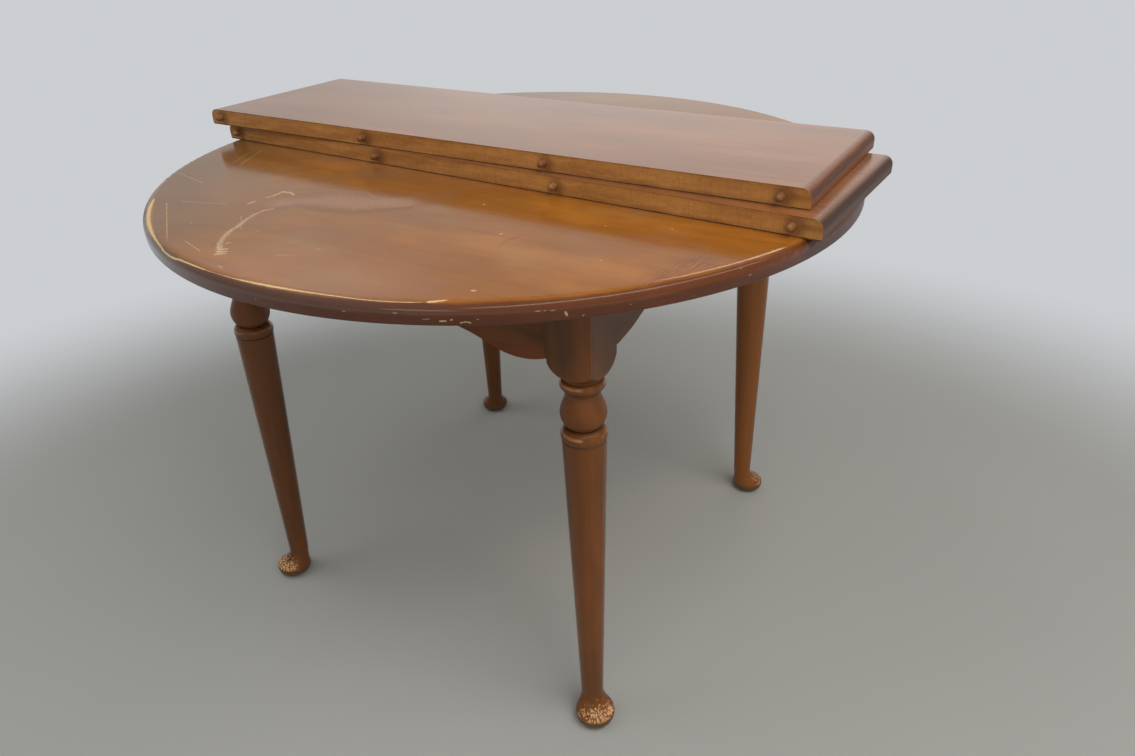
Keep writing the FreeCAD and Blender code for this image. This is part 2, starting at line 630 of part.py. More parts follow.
def build_half(name, place):
    """Writes the nodes of one half. place is the identity for the front and flip_y for the back;
    the seam's pins or sockets and the catches are made by the callers."""
    right_leg = leg().cut(bolt_hole(BOLT_RADIUS + 0.05))
    right_leg = right_leg.cut(rod(V(FOOT_CENTRE, -FOOT_CENTRE, 0), Z_AXIS, 1.25, 17))
    right_block = corner_block().cut(bolt_hole(BOLT_RADIUS + 0.4))
    front_board, right_board = long_apron(), side_apron()
    for seat, direction in corner_screw_seats():
        hole = screw_hole(seat, direction, BLOCK_SCREW_LENGTH + 1)
        right_block = right_block.cut(hole)
        front_board = front_board.cut(hole).cut(flip_x(hole))
        right_board = right_board.cut(hole)
    screws = [wood_screw(s, d, BLOCK_SCREW_LENGTH) for s, d in corner_screw_seats()]

    for side, turn in (("right", lambda s: s), ("left", flip_x)):
        save(f"{name}_{side}_leg", place(turn(right_leg)))
        save(f"{name}_{side}_side_apron", place(turn(right_board)))
        save(f"{name}_{side}_corner_block", place(turn(right_block)))
    save(f"{name}_apron", place(front_board))
    for node, made in (("leg_bolts", [hanger_bolt()]), ("leg_washers", [washer()]),
                       ("leg_nuts", [hex_nut()]), ("corner_screws", screws),
                       ("foot_glides", [glide()])):
        save(f"{name}_{node}", *[place(s) for s in made + [flip_x(s) for s in made]])
    save(f"{name}_glue_blocks", *[place(s) for s in glue_blocks()])


def build_rails(name, near, way, place):
    """Writes one half's two sliding rails, with their screws and stops."""
    right = place(sliding_rail(near, way))
    save(f"{name}_right_rail", right)
    save(f"{name}_left_rail", flip_x(right))
    for node, made in (("rail_screws", rail_screws(near, way)),
                       ("rail_stops", [rail_stop(near, way)])):
        save(f"{name}_{node}", *[place(s) for s in made + [flip_x(s) for s in made]])


def top_screw_holes(near, way, catch_seats, place):
    """Pilot holes in a half top for its rail screws and its catch screws."""
    holes = [rod(s, Z_AXIS, 2.05, RAIL_SCREW_LENGTH + 0.5) for s in rail_screw_seats(near, way)]
    holes = [place(h) for h in holes]
    holes += [rod(s, Z_AXIS, 1.65, 14.5) for s in catch_seats]
    return holes + [flip_x(h) for h in holes]


def keep(shape):
    """The identity, for pieces that stay on the front half."""
    return shape


def main():
    os.makedirs("parts", exist_ok=True)
    seam_z = UNDERSIDE + BOARD / 2
    front_near = OUTER_FACE + RAIL_GAP
    back_near = INNER_FACE - RAIL_GAP

    # The two half tops.
    half = half_disc()
    front_holes = top_screw_holes(front_near, 1, sleeve_screw_seats(), keep)
    front_holes += pin_holes(-HALF_GAP, seam_z, -Y_AXIS)
    save("front_top", drill(half, front_holes))
    back_holes = top_screw_holes(back_near, -1, tongue_screw_seats(), flip_y)
    back_holes += pin_roots(HALF_GAP, seam_z)
    save("back_top", drill(flip_y(half), back_holes))
    save("back_seam_pins", *pins_at(HALF_GAP, seam_z))

    # Each half's legs, aprons, blocks and fasteners.
    build_half("front", keep)
    build_half("back", flip_y)

    # Slides: front rails outside, back rails inside, and the middle rails between them.
    build_rails("front", front_near, 1, keep)
    build_rails("back", back_near, -1, flip_y)
    right_rail = middle_rail()
    for seat in TIE_SCREWS:
        right_rail = right_rail.cut(rod(seat, Z_AXIS, 2.05, TIE_THICK + 19))
    save("right_middle_rail", right_rail)
    save("left_middle_rail", flip_x(right_rail))
    save("right_slide_keys", *slide_keys())
    save("left_slide_keys", *[flip_x(k) for k in slide_keys()])
    save("middle_rail_tie", tie())
    screws = [wood_screw(s, Z_AXIS, TIE_THICK + 18) for s in TIE_SCREWS]
    save("tie_screws", *screws, *[flip_x(s) for s in screws])

    # Seam catches.
    save("front_catch_sleeves", catch_sleeve(), flip_x(catch_sleeve()))
    save("back_catch_tongues", catch_tongue(), flip_x(catch_tongue()))
    for name, seats in (("front", sleeve_screw_seats()), ("back", tongue_screw_seats())):
        made = [catch_screw(s) for s in seats]
        save(f"{name}_catch_screws", *made, *[flip_x(s) for s in made])

    # The two loose leaves.
    for name, place, low in (("lower", LOWER_LEAF_PLACE, TABLE_HEIGHT),
                             ("upper", UPPER_LEAF_PLACE, TABLE_HEIGHT + BOARD)):
        board, pins = leaf(place, low)
        save(f"{name}_leaf_board", board)
        save(f"{name}_leaf_pins", pins)


main()
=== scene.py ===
# %% [markdown]
# # A round extension table with two loose leaves
#
# The table is a 42 inch round top in two halves, on four turned legs, with its two spare leaves
# stacked on it. It is maple under a walnut-brown stain and a satin lacquer that has seen years of
# use. The solids already have the right shapes, so most of the work here is finish: how maple
# takes stain, where lacquer wears through, and which faces the factory left bare. The dowels,
# screws, bolts, nuts, washers and glides are made again in finer detail.

# %% The fixed frame
import json
import math
from functools import partialmethod, reduce

import bmesh
import bpy
import numpy as np
from mathutils import Matrix, Vector

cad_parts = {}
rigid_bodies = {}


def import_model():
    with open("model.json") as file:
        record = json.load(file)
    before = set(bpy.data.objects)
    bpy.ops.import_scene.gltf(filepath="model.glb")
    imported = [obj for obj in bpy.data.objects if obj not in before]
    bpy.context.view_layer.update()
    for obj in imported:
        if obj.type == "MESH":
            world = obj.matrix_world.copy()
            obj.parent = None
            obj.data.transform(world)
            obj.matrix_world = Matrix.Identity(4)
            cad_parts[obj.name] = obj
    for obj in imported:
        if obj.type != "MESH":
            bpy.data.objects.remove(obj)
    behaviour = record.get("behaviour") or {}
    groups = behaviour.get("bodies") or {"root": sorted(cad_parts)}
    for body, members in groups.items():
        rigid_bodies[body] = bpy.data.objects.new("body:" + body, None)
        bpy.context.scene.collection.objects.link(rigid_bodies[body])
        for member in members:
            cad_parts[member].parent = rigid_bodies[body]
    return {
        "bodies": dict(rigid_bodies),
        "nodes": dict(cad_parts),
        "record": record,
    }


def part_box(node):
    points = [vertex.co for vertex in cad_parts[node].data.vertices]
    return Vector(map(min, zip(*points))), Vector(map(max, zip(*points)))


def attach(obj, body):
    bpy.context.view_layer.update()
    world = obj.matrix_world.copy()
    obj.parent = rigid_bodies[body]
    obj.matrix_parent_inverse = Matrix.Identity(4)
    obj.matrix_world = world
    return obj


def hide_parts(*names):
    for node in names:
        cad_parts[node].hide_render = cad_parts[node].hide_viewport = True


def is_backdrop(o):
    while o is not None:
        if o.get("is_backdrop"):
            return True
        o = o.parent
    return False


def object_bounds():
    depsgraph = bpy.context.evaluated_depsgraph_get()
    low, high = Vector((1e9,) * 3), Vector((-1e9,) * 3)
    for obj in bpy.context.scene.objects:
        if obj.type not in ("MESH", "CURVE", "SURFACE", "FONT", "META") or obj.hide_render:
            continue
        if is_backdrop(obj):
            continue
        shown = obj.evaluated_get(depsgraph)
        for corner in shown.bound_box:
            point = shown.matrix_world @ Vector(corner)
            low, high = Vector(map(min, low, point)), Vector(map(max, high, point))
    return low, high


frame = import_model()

nodes = frame["nodes"]
known = set(nodes.values()) | set(frame["bodies"].values())
for stray in [o for o in bpy.data.objects if o not in known]:
    bpy.data.objects.remove(stray)
cad_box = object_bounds()
bodies = frame["record"]["behaviour"]["bodies"]
body_of = {name: body for body, members in bodies.items() for name in members}
MM = 0.001
FULL_TURN = 2 * math.pi

# %% [markdown]
# ## The camera
#
# Someone tall stands at the right front corner and looks down on the table. The lens is a little
# wider than normal, so the near rim swells and the far leg shrinks. A camera is easiest to check
# as a place, a heading, a pitch and a roll, so its matrix is built from those four.

# %% Camera
IMAGE_WIDTH = 1135
FOCAL_PIXELS = 815.0
CAMERA_PLACE = Vector((0.7472, -1.0446, 1.0903))
HEADING, PITCH, ROLL = (math.radians(a) for a in (-32.061, 30.296, -1.905))

reach = math.cos(PITCH)
ahead = Vector((math.sin(HEADING) * reach, math.cos(HEADING) * reach, -math.sin(PITCH)))
level = Vector((math.cos(HEADING), -math.sin(HEADING), 0))
upright = level.cross(ahead)
right = math.cos(ROLL) * level + math.sin(ROLL) * upright
up = math.cos(ROLL) * upright - math.sin(ROLL) * level

camera = bpy.data.objects.new("camera", bpy.data.cameras.new("camera"))
camera.data.sensor_width = 36
camera.data.lens = camera.data.sensor_width * FOCAL_PIXELS / IMAGE_WIDTH
turn = Matrix((right, up, -ahead)).transposed()
camera.matrix_world = Matrix.Translation(CAMERA_PLACE) @ turn.to_4x4()
bpy.context.scene.collection.objects.link(camera)
bpy.context.scene.camera = camera
print(f"camera at {tuple(round(v, 3) for v in CAMERA_PLACE)}, lens {camera.data.lens:.2f} mm")

# %% [markdown]
# ## Writing node trees by hand
#
# Every finish and every fastener below is a node tree. Adding a node, setting its sockets and
# linking it takes five lines each time, so one small class does that. It takes a number, a colour
# or another node's socket in the same place, which makes a tree read like a formula.


# %% A short way to write nodes
class Tree:
    """A node tree with short ways to add nodes; a value may be a number or another node's socket."""

    def __init__(self, tree):
        self.tree = tree

    def feed(self, socket, value):
        """Links or sets one input socket."""
        if isinstance(value, bpy.types.NodeSocket):
            self.tree.links.new(value, socket)
        elif value is not None:
            socket.default_value = value

    def add(self, kind, *values, named=None, **settings):
        """A new node of a kind, with its first inputs fed in order and others by name."""
        node = self.tree.nodes.new(kind)
        for key, value in settings.items():
            setattr(node, key, value)
        for socket, value in zip(node.inputs, values):
            self.feed(socket, value)
        for key, value in (named or {}).items():
            self.feed(node.inputs[key], value)
        return node

    def maths(self, operation, *values, clamp=False):
        return self.add("ShaderNodeMath", *values, operation=operation, use_clamp=clamp).outputs[0]

    # The commonest sums have names of their own; line is value x slope + start.
    plus = partialmethod(maths, "ADD")
    minus = partialmethod(maths, "SUBTRACT")
    times = partialmethod(maths, "MULTIPLY")
    over = partialmethod(maths, "DIVIDE")
    line = partialmethod(maths, "MULTIPLY_ADD")
    size = partialmethod(maths, "ABSOLUTE")
    most = partialmethod(maths, "MAXIMUM")
    least = partialmethod(maths, "MINIMUM")

    def gather(self, operation, values):
        """One sum over many values, such as the largest of them."""
        return reduce(lambda a, b: self.maths(operation, a, b), values)

    def vector(self, operation, *values):
        node = self.add("ShaderNodeVectorMath", *values, operation=operation)
        return node.outputs["Value" if operation in ("LENGTH", "DOT_PRODUCT", "DISTANCE") else "Vector"]

    def split(self, vector):
        return self.add("ShaderNodeSeparateXYZ", vector).outputs

    def join(self, x, y, z):
        return self.add("ShaderNodeCombineXYZ", x, y, z).outputs[0]

    def ramp(self, value, start, end):
        """0 at start and 1 at end, smooth between; start may be above end."""
        if start > end:
            return self.minus(1.0, self.ramp(value, end, start))
        node = self.add("ShaderNodeMapRange", interpolation_type="SMOOTHSTEP",
                        named={"Value": value, "From Min": start, "From Max": end})
        return node.outputs[0]

    def stripe(self, value, centre, half, soft):
        """1 within half of the centre, fading out over soft."""
        return self.ramp(self.size(self.minus(value, centre)), half + soft, half)

    def noise(self, vector, stretch, detail=2.0, roughness=0.5):
        """Soft noise of about 0 to 1; stretch is how many waves fit in a metre along x, y and z."""
        scaled = self.vector("MULTIPLY", vector, stretch)
        node = self.add("ShaderNodeTexNoise", named={
            "Vector": scaled, "Scale": 1.0, "Detail": detail, "Roughness": roughness})
        return node.outputs[0]

    def curve(self, value, points):
        """A smooth curve through (place, height) points, both between 0 and 1."""
        node = self.add("ShaderNodeFloatCurve", named={"Value": value})
        line = node.mapping.curves[0].points
        line[0].location, line[-1].location = points[0], points[-1]
        for place in points[1:-1]:
            line.new(*place)
        node.mapping.update()
        return node.outputs[0]

    def blend(self, share, a, b):
        """Mixes two colours."""
        node = self.add("ShaderNodeMix", data_type="RGBA")
        self.feed(node.inputs[0], share)
        self.feed(node.inputs[6], a)
        self.feed(node.inputs[7], b)
        return node.outputs[2]

    def tint(self, shade, mask, share, *paint):
        """Lays a paint over a shade; share is how much of it covers where the mask is 1."""
        return self.blend(self.times(mask, share), shade, colour(*paint))


def new_group(name, kind, inputs, outputs):
    """A node group; gives the group, its Tree, its own input values and the sockets of its result."""
    group = bpy.data.node_groups.new(name, kind)
    for label, socket in inputs:
        group.interface.new_socket(label, in_out="INPUT", socket_type=f"NodeSocket{socket}")
    for label, socket in outputs:
        group.interface.new_socket(label, in_out="OUTPUT", socket_type=f"NodeSocket{socket}")
    t = Tree(group)
    return group, t, t.add("NodeGroupInput").outputs, t.add("NodeGroupOutput").inputs


def inputs_of(group):
    """The names and types of a group's own inputs."""
    return [(item.name, item.socket_type.removeprefix("NodeSocket"))
            for item in group.interface.items_tree if item.in_out == "INPUT"]


def new_material(name):
    """A new material; gives it with its Tree, its shader and the point on the object."""
    material = bpy.data.materials.new(name)
    material.use_nodes = True
    t = Tree(material.node_tree)
    shader = material.node_tree.nodes["Principled BSDF"]
    return material, t, shader, t.add("ShaderNodeTexCoord").outputs["Object"]


def colour(red, green, blue):
    """A colour as a paint chart gives it (sRGB, 0 to 255), as the linear values that shaders use."""
    def linear(value):
        share = value / 255
        return share / 12.92 if share <= 0.04045 else ((share + 0.055) / 1.055) ** 2.4
    return (linear(red), linear(green), linear(blue), 1.0)


# %% [markdown]
# ## Floor and light
#
# A pale plain floor in a studio with a white wall behind the table and a darker room in front of
# it. Three big soft lamps light the wood, and lacquer doesn't mirror them. Two thin warm tubes and
# a small window are mirrored, and draw lines of light along the rim. The Light Path node tells the
# rays apart: the sky lights the wood evenly, while lacquer that is seen at a low angle mirrors the
# brighter wall in a slightly warmer white. Away from the table the floor fades into the backdrop's
# own brightness, so no horizon shows.

# %% Floor
FLOOR_SIZE = 30.0
FADE_FROM, FADE_TO = 1.15, 2.3           # metres from the middle of the table
FADE_TILT = 0.35                         # how much sooner it fades towards the wall
BACKWARDS = (-0.50, 0.87, 0.0)           # towards the wall
WALL_MIDDLE = (-0.35, 0.94, 0.0)         # towards its brightest part
PALE, PALE_STRENGTH = colour(240, 243, 247), 0.69
WARM_ROOM = colour(242, 240, 236)        # what lacquer mirrors


def seen_rays(t):
    """1 for a ray that shows a thing to the eye, directly, in a mirror or through glass."""
    path = t.add("ShaderNodeLightPath").outputs
    mirrored = t.most(path["Is Glossy Ray"], path["Is Transmission Ray"])
    return t.most(path["Is Camera Ray"], mirrored)


def finish_floor():
    """A mat pale floor that fades into the backdrop."""
    material, t, shader, point = new_material("pale_floor")
    cloud = t.noise(point, (1.3, 1.3, 0.0), detail=3.0)
    t.feed(shader.inputs["Base Color"], t.blend(cloud, colour(165, 166, 162), colour(173, 174, 170)))
    shader.inputs["Roughness"].default_value = 0.8
    backwards = t.vector("DOT_PRODUCT", point, BACKWARDS)
    reach = t.line(backwards, FADE_TILT, t.vector("LENGTH", point))
    fade = t.ramp(reach, FADE_FROM, FADE_TO)
    glow = t.add("ShaderNodeEmission", PALE, PALE_STRENGTH)
    share = t.times(fade, seen_rays(t))
    both = t.add("ShaderNodeMixShader", share, shader.outputs[0], glow.outputs[0])
    t.feed(material.node_tree.nodes["Material Output"].inputs["Surface"], both.outputs[0])
    return material


floor_mesh = bpy.data.meshes.new("floor")
half = FLOOR_SIZE / 2
corners = [(-half, -half, 0), (half, -half, 0), (half, half, 0), (-half, half, 0)]
floor_mesh.from_pydata(corners, [], [(0, 1, 2, 3)])
floor_mesh.materials.append(finish_floor())
floor = bpy.data.objects.new("floor", floor_mesh)
bpy.context.scene.collection.objects.link(floor)
floor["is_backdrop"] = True

# %% Sky and lamps
SKY_LIGHT = 0.27                         # what lights the wood
ROOM, WALL, BRIGHT_WALL = 0.32, 0.36, 0.38
WHITE_LAMP, WARM_LAMP = (1.0, 1.0, 1.0), (1.0, 0.86, 0.70)
LAMP_AIM = Vector((0, 0, 0.6))
LAMPS = {                                # place, size, power, and whether lacquer mirrors it
    "lamp_left": ((-1.4, -0.9, 2.7), (1.8, 2.4), 24.0, False),
    "lamp_right": ((1.6, -0.5, 2.6), (1.8, 2.0), 34.0, False),
    "lamp_front": ((2.4, -1.9, 1.5), (1.6, 1.2), 10.0, False),
    "tube": ((1.65, -0.6, 2.6), (4.0, 0.22), 16.0, True),
    "window": ((0.5, -2.9, 1.55), (0.9, 0.5), 3.2, True),
    "far_tube": ((0.12, 2.2, 2.6), (1.45, 0.14), 7.0, True),
}


def light_sky():
    """An even sky for lighting, and one that is brighter low at the back for mirror rays."""
    world = bpy.data.worlds.new("studio")
    world.use_nodes = True
    t = Tree(world.node_tree)
    way = t.add("ShaderNodeTexCoord").outputs["Generated"]
    height = t.split(way)[2]
    behind = t.ramp(t.vector("DOT_PRODUCT", way, BACKWARDS), -0.2, 0.6)
    middle = t.ramp(t.vector("DOT_PRODUCT", way, WALL_MIDDLE), 0.86, 0.97)
    wall = t.line(t.times(behind, t.ramp(height, 0.75, 0.15)), WALL, ROOM)
    wall = t.line(t.times(middle, t.ramp(height, 0.45, 0.15)), BRIGHT_WALL, wall)
    path = t.add("ShaderNodeLightPath").outputs
    strength = t.add("ShaderNodeMapRange", named={
        "Value": path["Is Glossy Ray"], "To Min": SKY_LIGHT, "To Max": wall}).outputs[0]
    direct = t.most(path["Is Camera Ray"], path["Is Transmission Ray"])
    strength = t.add("ShaderNodeMapRange", named={
        "Value": direct, "To Min": strength, "To Max": PALE_STRENGTH}).outputs[0]
    backdrop = world.node_tree.nodes["Background"]
    t.feed(backdrop.inputs["Color"], t.blend(path["Is Glossy Ray"], PALE, WARM_ROOM))
    t.feed(backdrop.inputs["Strength"], strength)
    return world


bpy.context.scene.world = light_sky()
bpy.context.scene.view_settings.view_transform = "Standard"

for name, (place, size, power, mirrored) in LAMPS.items():
    lamp = bpy.data.lights.new(name, "AREA")
    lamp.shape = "RECTANGLE"
    lamp.size, lamp.size_y = size
    lamp.energy = power
    lamp.color = WARM_LAMP if mirrored else WHITE_LAMP
    lamp_object = bpy.data.objects.new(name, lamp)
    lamp_object.location = place
    lamp_object.visible_glossy = mirrored
    way = LAMP_AIM - Vector(place)
    lamp_object.rotation_euler = way.to_track_quat("-Z", "Y").to_euler()
    bpy.context.scene.collection.objects.link(lamp_object)
print(f"{len(LAMPS)} lamps")

# %% [markdown]
# ## Maple, as a solid block of colour
#
# Maple has a quiet figure: growth rings around a pith that lies outside the board, fine pores in
# short dashes, and soft cloudy patches where stain soaks in unevenly. An image wrapped round each
# piece would show seams and stretch on the turnings. A solid texture is cut from space instead,
# as a board is cut from a log, so a round-over shows long grain on one side and end grain on the
# other by itself. The group takes a point with the grain along X and gives back a colour and a
# height for the pores.


# %% The maple group
STAVE_WIDTH, STAVE_START = 0.094, 0.031  # metres across the grain
PITH_HEIGHT, RING_SPACING = 0.62, 0.0085


def build_maple():
    """The node group that turns a point in a log, grain along X, into colour and pore height."""
    group, t, given, out = new_group("maple", "ShaderNodeTree", (
        ("Point", "Vector"), ("Light", "Color"), ("Deep", "Color"), ("Cloud", "Float"),
        ("Figure", "Float")), (("Colour", "Color"), ("Height", "Float")))
    x, y, z = t.split(given["Point"])

    # Staves: each glued-up strip comes from another part of the log.
    stave = t.maths("FLOOR", t.over(t.plus(y, STAVE_START), STAVE_WIDTH))
    chance = t.add("ShaderNodeTexWhiteNoise", noise_dimensions="1D", named={"W": stave}).outputs
    shift = t.minus(chance["Value"], 0.5)

    # Growth rings about a wandering pith.
    wander = t.noise(t.join(x, shift, 0.0), (1.7, 9.0, 0.0), detail=1.0)
    pith_y = t.line(shift, 0.16, t.times(stave, STAVE_WIDTH))
    off_y = t.minus(y, pith_y)
    off_z = t.line(wander, 0.05, t.minus(z, PITH_HEIGHT))
    ring = t.vector("LENGTH", t.join(0.0, off_y, off_z))
    wobble = t.noise(given["Point"], (2.0, 14.0, 14.0), detail=3.0)
    ring = t.line(wobble, 0.010, ring)
    wave = t.maths("SINE", t.times(ring, FULL_TURN / RING_SPACING))
    late_wood = t.ramp(wave, 0.35, 1.0)

    # Pores and fibres, drawn out along the grain.
    streak = t.noise(given["Point"], (4.5, 150.0, 150.0), detail=4.0, roughness=0.65)
    pore = t.noise(given["Point"], (45.0, 900.0, 900.0), detail=2.0)
    cloud = t.noise(given["Point"], (3.0, 11.0, 11.0), detail=3.0, roughness=0.6)
    patch = t.noise(given["Point"], (22.0, 60.0, 60.0), detail=2.0)

    tone = t.line(t.minus(cloud, 0.5), given["Cloud"], 0.55)
    tone = t.line(t.minus(streak, 0.5), 0.40, tone)
    tone = t.line(t.minus(patch, 0.5), 0.20, tone)
    tone = t.line(shift, 0.16, tone)
    tone = t.minus(tone, t.times(late_wood, given["Figure"]))
    fleck = t.ramp(pore, 0.66, 0.78)
    tone = t.line(fleck, -0.12, tone, clamp=True)
    t.feed(out["Colour"], t.blend(tone, given["Deep"], given["Light"]))
    t.feed(out["Height"], t.line(fleck, -0.6, t.times(streak, 0.5)))
    return group


maple = build_maple()
print(f"maple group: {len(maple.nodes)} nodes")


# %% [markdown]
# ## From wood to finish
#
# A finish is the wood's colour under a film of lacquer. The film is Principled's own gloss with a
# roughness that varies a little with the pores, and a very faint bump. One function starts every
# wooden finish, so that all of them agree, and each finish then adds its own wear on top.


# %% Starting and ending a wooden finish
def lay_maple(t, *inputs):
    """Maple at a point; the other inputs are light, deep, cloud and figure. Gives colour and height."""
    node = t.add("ShaderNodeGroup", *inputs, node_tree=maple)
    return node.outputs["Colour"], node.outputs["Height"]


def start_wood(name, along, light, deep, cloud=1.0, figure=0.10):
    """A new material with maple running along X, Y or Z; gives the tree, point, colour and height."""
    material, t, _, point = new_material(name)
    x, y, z = t.split(point)
    turned = point
    if along != "x":
        turned = t.join(y, x, z) if along == "y" else t.join(z, x, y)
    return material, t, (x, y, z), *lay_maple(t, turned, light, deep, cloud, figure)


GRAIN_RELIEF = 0.00012                   # metres
COAT_ROUGHNESS = 0.25


def end_wood(material, t, shade, height, gloss=0.22, worn=None, specular=0.5):
    """Feeds the shader. worn is where the lacquer has gone and the surface is dull."""
    shader = material.node_tree.nodes["Principled BSDF"]
    shader.inputs["Specular IOR Level"].default_value = specular
    shader.inputs["Coat Roughness"].default_value = COAT_ROUGHNESS
    t.feed(shader.inputs["Base Color"], shade)
    rough = t.line(height, 0.5 * gloss, 0.75 * gloss)
    if worn is not None:
        rough = t.line(worn, 0.45, rough, clamp=True)
    t.feed(shader.inputs["Roughness"], rough)
    bump = t.add("ShaderNodeBump", named={"Height": height, "Strength": 0.35, "Distance": GRAIN_RELIEF})
    t.feed(shader.inputs["Normal"], bump.outputs[0])
    return material


BARE = colour(230, 204, 152)             # maple where the finish is gone
STAIN_LIGHT, STAIN_DEEP = colour(164, 102, 34), colour(120, 67, 18)

# %% [markdown]
# ## Marks on the top
#
# Wear is what makes this top this top. A pale line runs round the left front where hands and
# chairs have rubbed the round-over bare, one long curved scuff crosses the lacquer beside it, and
# there are thin scratches, specks and chips. Each mark is the distance from a point to a short
# line, turned into a mask, which is one small node group used again for every mark. Noise that is
# drawn out along the line breaks it into strands, as grit does.


# %% The mark group
STRANDS_PER_METRE = 900.0
RAGGEDNESS, STRAND_SWAY = 2.6, 14.0      # how far grit pushes an edge, and a strand


def build_mark():
    """Node group: 1 on a straight mark from Start to End of half width Width, in strands by Fray."""
    group, t, given, out = new_group("mark", "ShaderNodeTree", (
        ("Point", "Vector"), ("Grit", "Float"), ("Start", "Vector"), ("End", "Vector"),
        ("Width", "Float"), ("Fray", "Float")), (("Mask", "Float"),))
    run = t.vector("SUBTRACT", given["End"], given["Start"])
    length = t.vector("LENGTH", run)
    way = t.vector("NORMALIZE", run)
    away = t.vector("SUBTRACT", given["Point"], given["Start"])
    along = t.vector("DOT_PRODUCT", away, way)
    across = t.vector("DOT_PRODUCT", away, t.vector("CROSS_PRODUCT", way, (0, 0, 1)))
    past = t.minus(along, t.least(t.most(along, 0.0), length))
    off = t.over(t.vector("LENGTH", t.join(past, across, 0.0)), given["Width"])
    off = t.plus(off, t.times(t.minus(given["Grit"], 0.5), RAGGEDNESS))
    ripple = t.line(across, STRANDS_PER_METRE * FULL_TURN, t.times(given["Grit"], STRAND_SWAY))
    strands = t.ramp(t.line(t.maths("SINE", ripple), 0.35, given["Grit"]), 0.25, 0.75)
    kept = t.minus(1.0, t.times(t.minus(1.0, strands), given["Fray"]))
    t.feed(out["Mask"], t.times(t.ramp(off, 1.0, 0.35), kept))
    return group


mark_group = build_mark()


def marks(t, point, grit, strokes):
    """The union of strokes, each (x0, y0, x1, y1, half width, fray, strength), in mm on the surface."""
    def one(x0, y0, x1, y1, half_width, fray, share):
        node = t.add("ShaderNodeGroup", node_tree=mark_group, named={
            "Point": point, "Grit": grit, "Start": (x0 * MM, y0 * MM, 0),
            "End": (x1 * MM, y1 * MM, 0), "Width": half_width * MM, "Fray": fray})
        return t.times(node.outputs[0], share)
    return t.gather("MAXIMUM", (one(*stroke) for stroke in strokes))


def path_marks(places, widths, fray, strength):
    """Strokes end to end along a bent line of places."""
    ends = zip(places, places[1:], widths)
    return [(*a, *b, half_width, fray, strength) for a, b, half_width in ends]


# %% [markdown]
# ## The round top
#
# The stain is laid on thick at the rim, so the round-over is browner than the flat. Painted shade
# darkens the far left and the right hand rim, and a painted sheen greys the front left. The
# underside was never finished: the factory let the spray drift a hand's width in from the rim and
# left the rest bare. The seam faces are bare too, and show when the halves part. The marks are
# listed by their places on the table, in millimetres from its middle, as a restorer would chart
# them.

# %% A chart of the marks on the flat
TOP_LOW, TOP_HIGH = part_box("front_top")[0].z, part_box("front_top")[1].z
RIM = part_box("front_top")[1].x
ROUND_OVER = 12.7 * MM

CURVED_SCUFF = [
    (-82, -486), (-100, -472), (-113, -460), (-123, -448), (-135, -428), (-141, -410), (-151, -390),
    (-159, -368), (-160, -353), (-154, -340)]
HOOKED_SCRATCH = [(-203, -311), (-199, -299), (-202, -282), (-189, -279), (-175, -285)]
SCUFFS = path_marks(CURVED_SCUFF, (6.0, 4.2, 4.4, 4.8, 4.8, 4.4, 3.8, 3.2, 2.6), 0.70, 0.52) + [
    (-84, -491, -76, -484, 1.8, 0.3, 0.85), (-89, -484, -80, -478, 2.0, 0.3, 0.85),
    (-95, -478, -86, -472, 1.8, 0.3, 0.75), (-114, -464, -92, -479, 1.2, 0.3, 0.55),
    (-139, -416, -150, -388, 1.6, 0.2, 0.45), (-203, -341, -203, -331, 3.0, 0.6, 0.75),
    (-170, -382, -127, -417, 1.0, 0.6, 0.35), (-300, -378, -231, -357, 1.8, 0.8, 0.30),
    (-376, -213, -418, -132, 0.8, 0.5, 0.35), (-15, -459, 4, -448, 1.2, 0.6, 0.35)]
BRIGHT = path_marks(HOOKED_SCRATCH, (1.4, 2.6, 3.0, 1.6), 0.15, 0.95) + [
    (-312, -392, -185, -483, 0.7, 0.5, 0.75), (-157, -478, -110, -492, 0.9, 0.5, 0.65),
    (-433, -286, -348, -305, 0.9, 0.5, 0.65), (-397, -210, -426, -150, 0.8, 0.6, 0.40),
    (-103, -460, -101, -456, 1.8, 0.2, 0.75), (-52, -512, -41, -515, 1.0, 0.4, 0.65)]
HATCH = [
    (409, -303, 413, -269), (415, -306, 418, -260), (420, -306, 423, -261), (428, -277, 430, -247),
    (425, -288, 429, -255), (403, -300, 407, -269), (434, -290, 437, -258), (397, -296, 401, -274),
    (398, -338, 400, -307), (406, -340, 409, -309), (408, -330, 410, -296), (420, -259, 426, -230),
    (431, -266, 435, -232), (416, -287, 419, -247), (397, -350, 399, -332)]
HATCHED = [(*line, 0.8, 0.3, 0.9) for line in HATCH]
SPILL_EDGE = path_marks(
    [(-182, -278), (-158, -256), (-142, -244), (-115, -236), (-85, -231), (-64, -241), (-30, -238),
     (-8, -212)], (1.6, 1.8, 1.8, 2.0, 2.2, 2.0, 2.0), 0.5, 0.7)
SPILL_SHADOW = path_marks(
    [(-150, -336), (-135, -315), (-105, -314), (-74, -312), (-46, -307), (-13, -277), (13, -255)],
    (10.0, 12.0, 13.0, 12.0, 10.0, 8.0), 0.1, 0.9)
SPILL_POOL = path_marks(
    [(-160, -318), (-110, -282), (-60, -268), (-10, -240)], (26.0, 32.0, 26.0), 0.0, 1.0)
SMUDGE = [(200, -296, 205, -281, 3.0, 0.6, 0.8), (203, -318, 199, -300, 2.5, 0.7, 0.5)]
SPECKS = [(-209, -430, 1.2), (13, -421, 1.0), (94, -199, 1.6), (179, -281, 1.7), (251, -433, 2.2),
          (280, -200, 1.0), (358, -173, 1.1), (-103, -412, 0.9), (330, -300, 0.9), (-300, -240, 0.9)]
BRIGHT += [(x0, y0, x0 + size, y0 + 0.3 * size, size, 0.2, 0.8) for x0, y0, size in SPECKS]
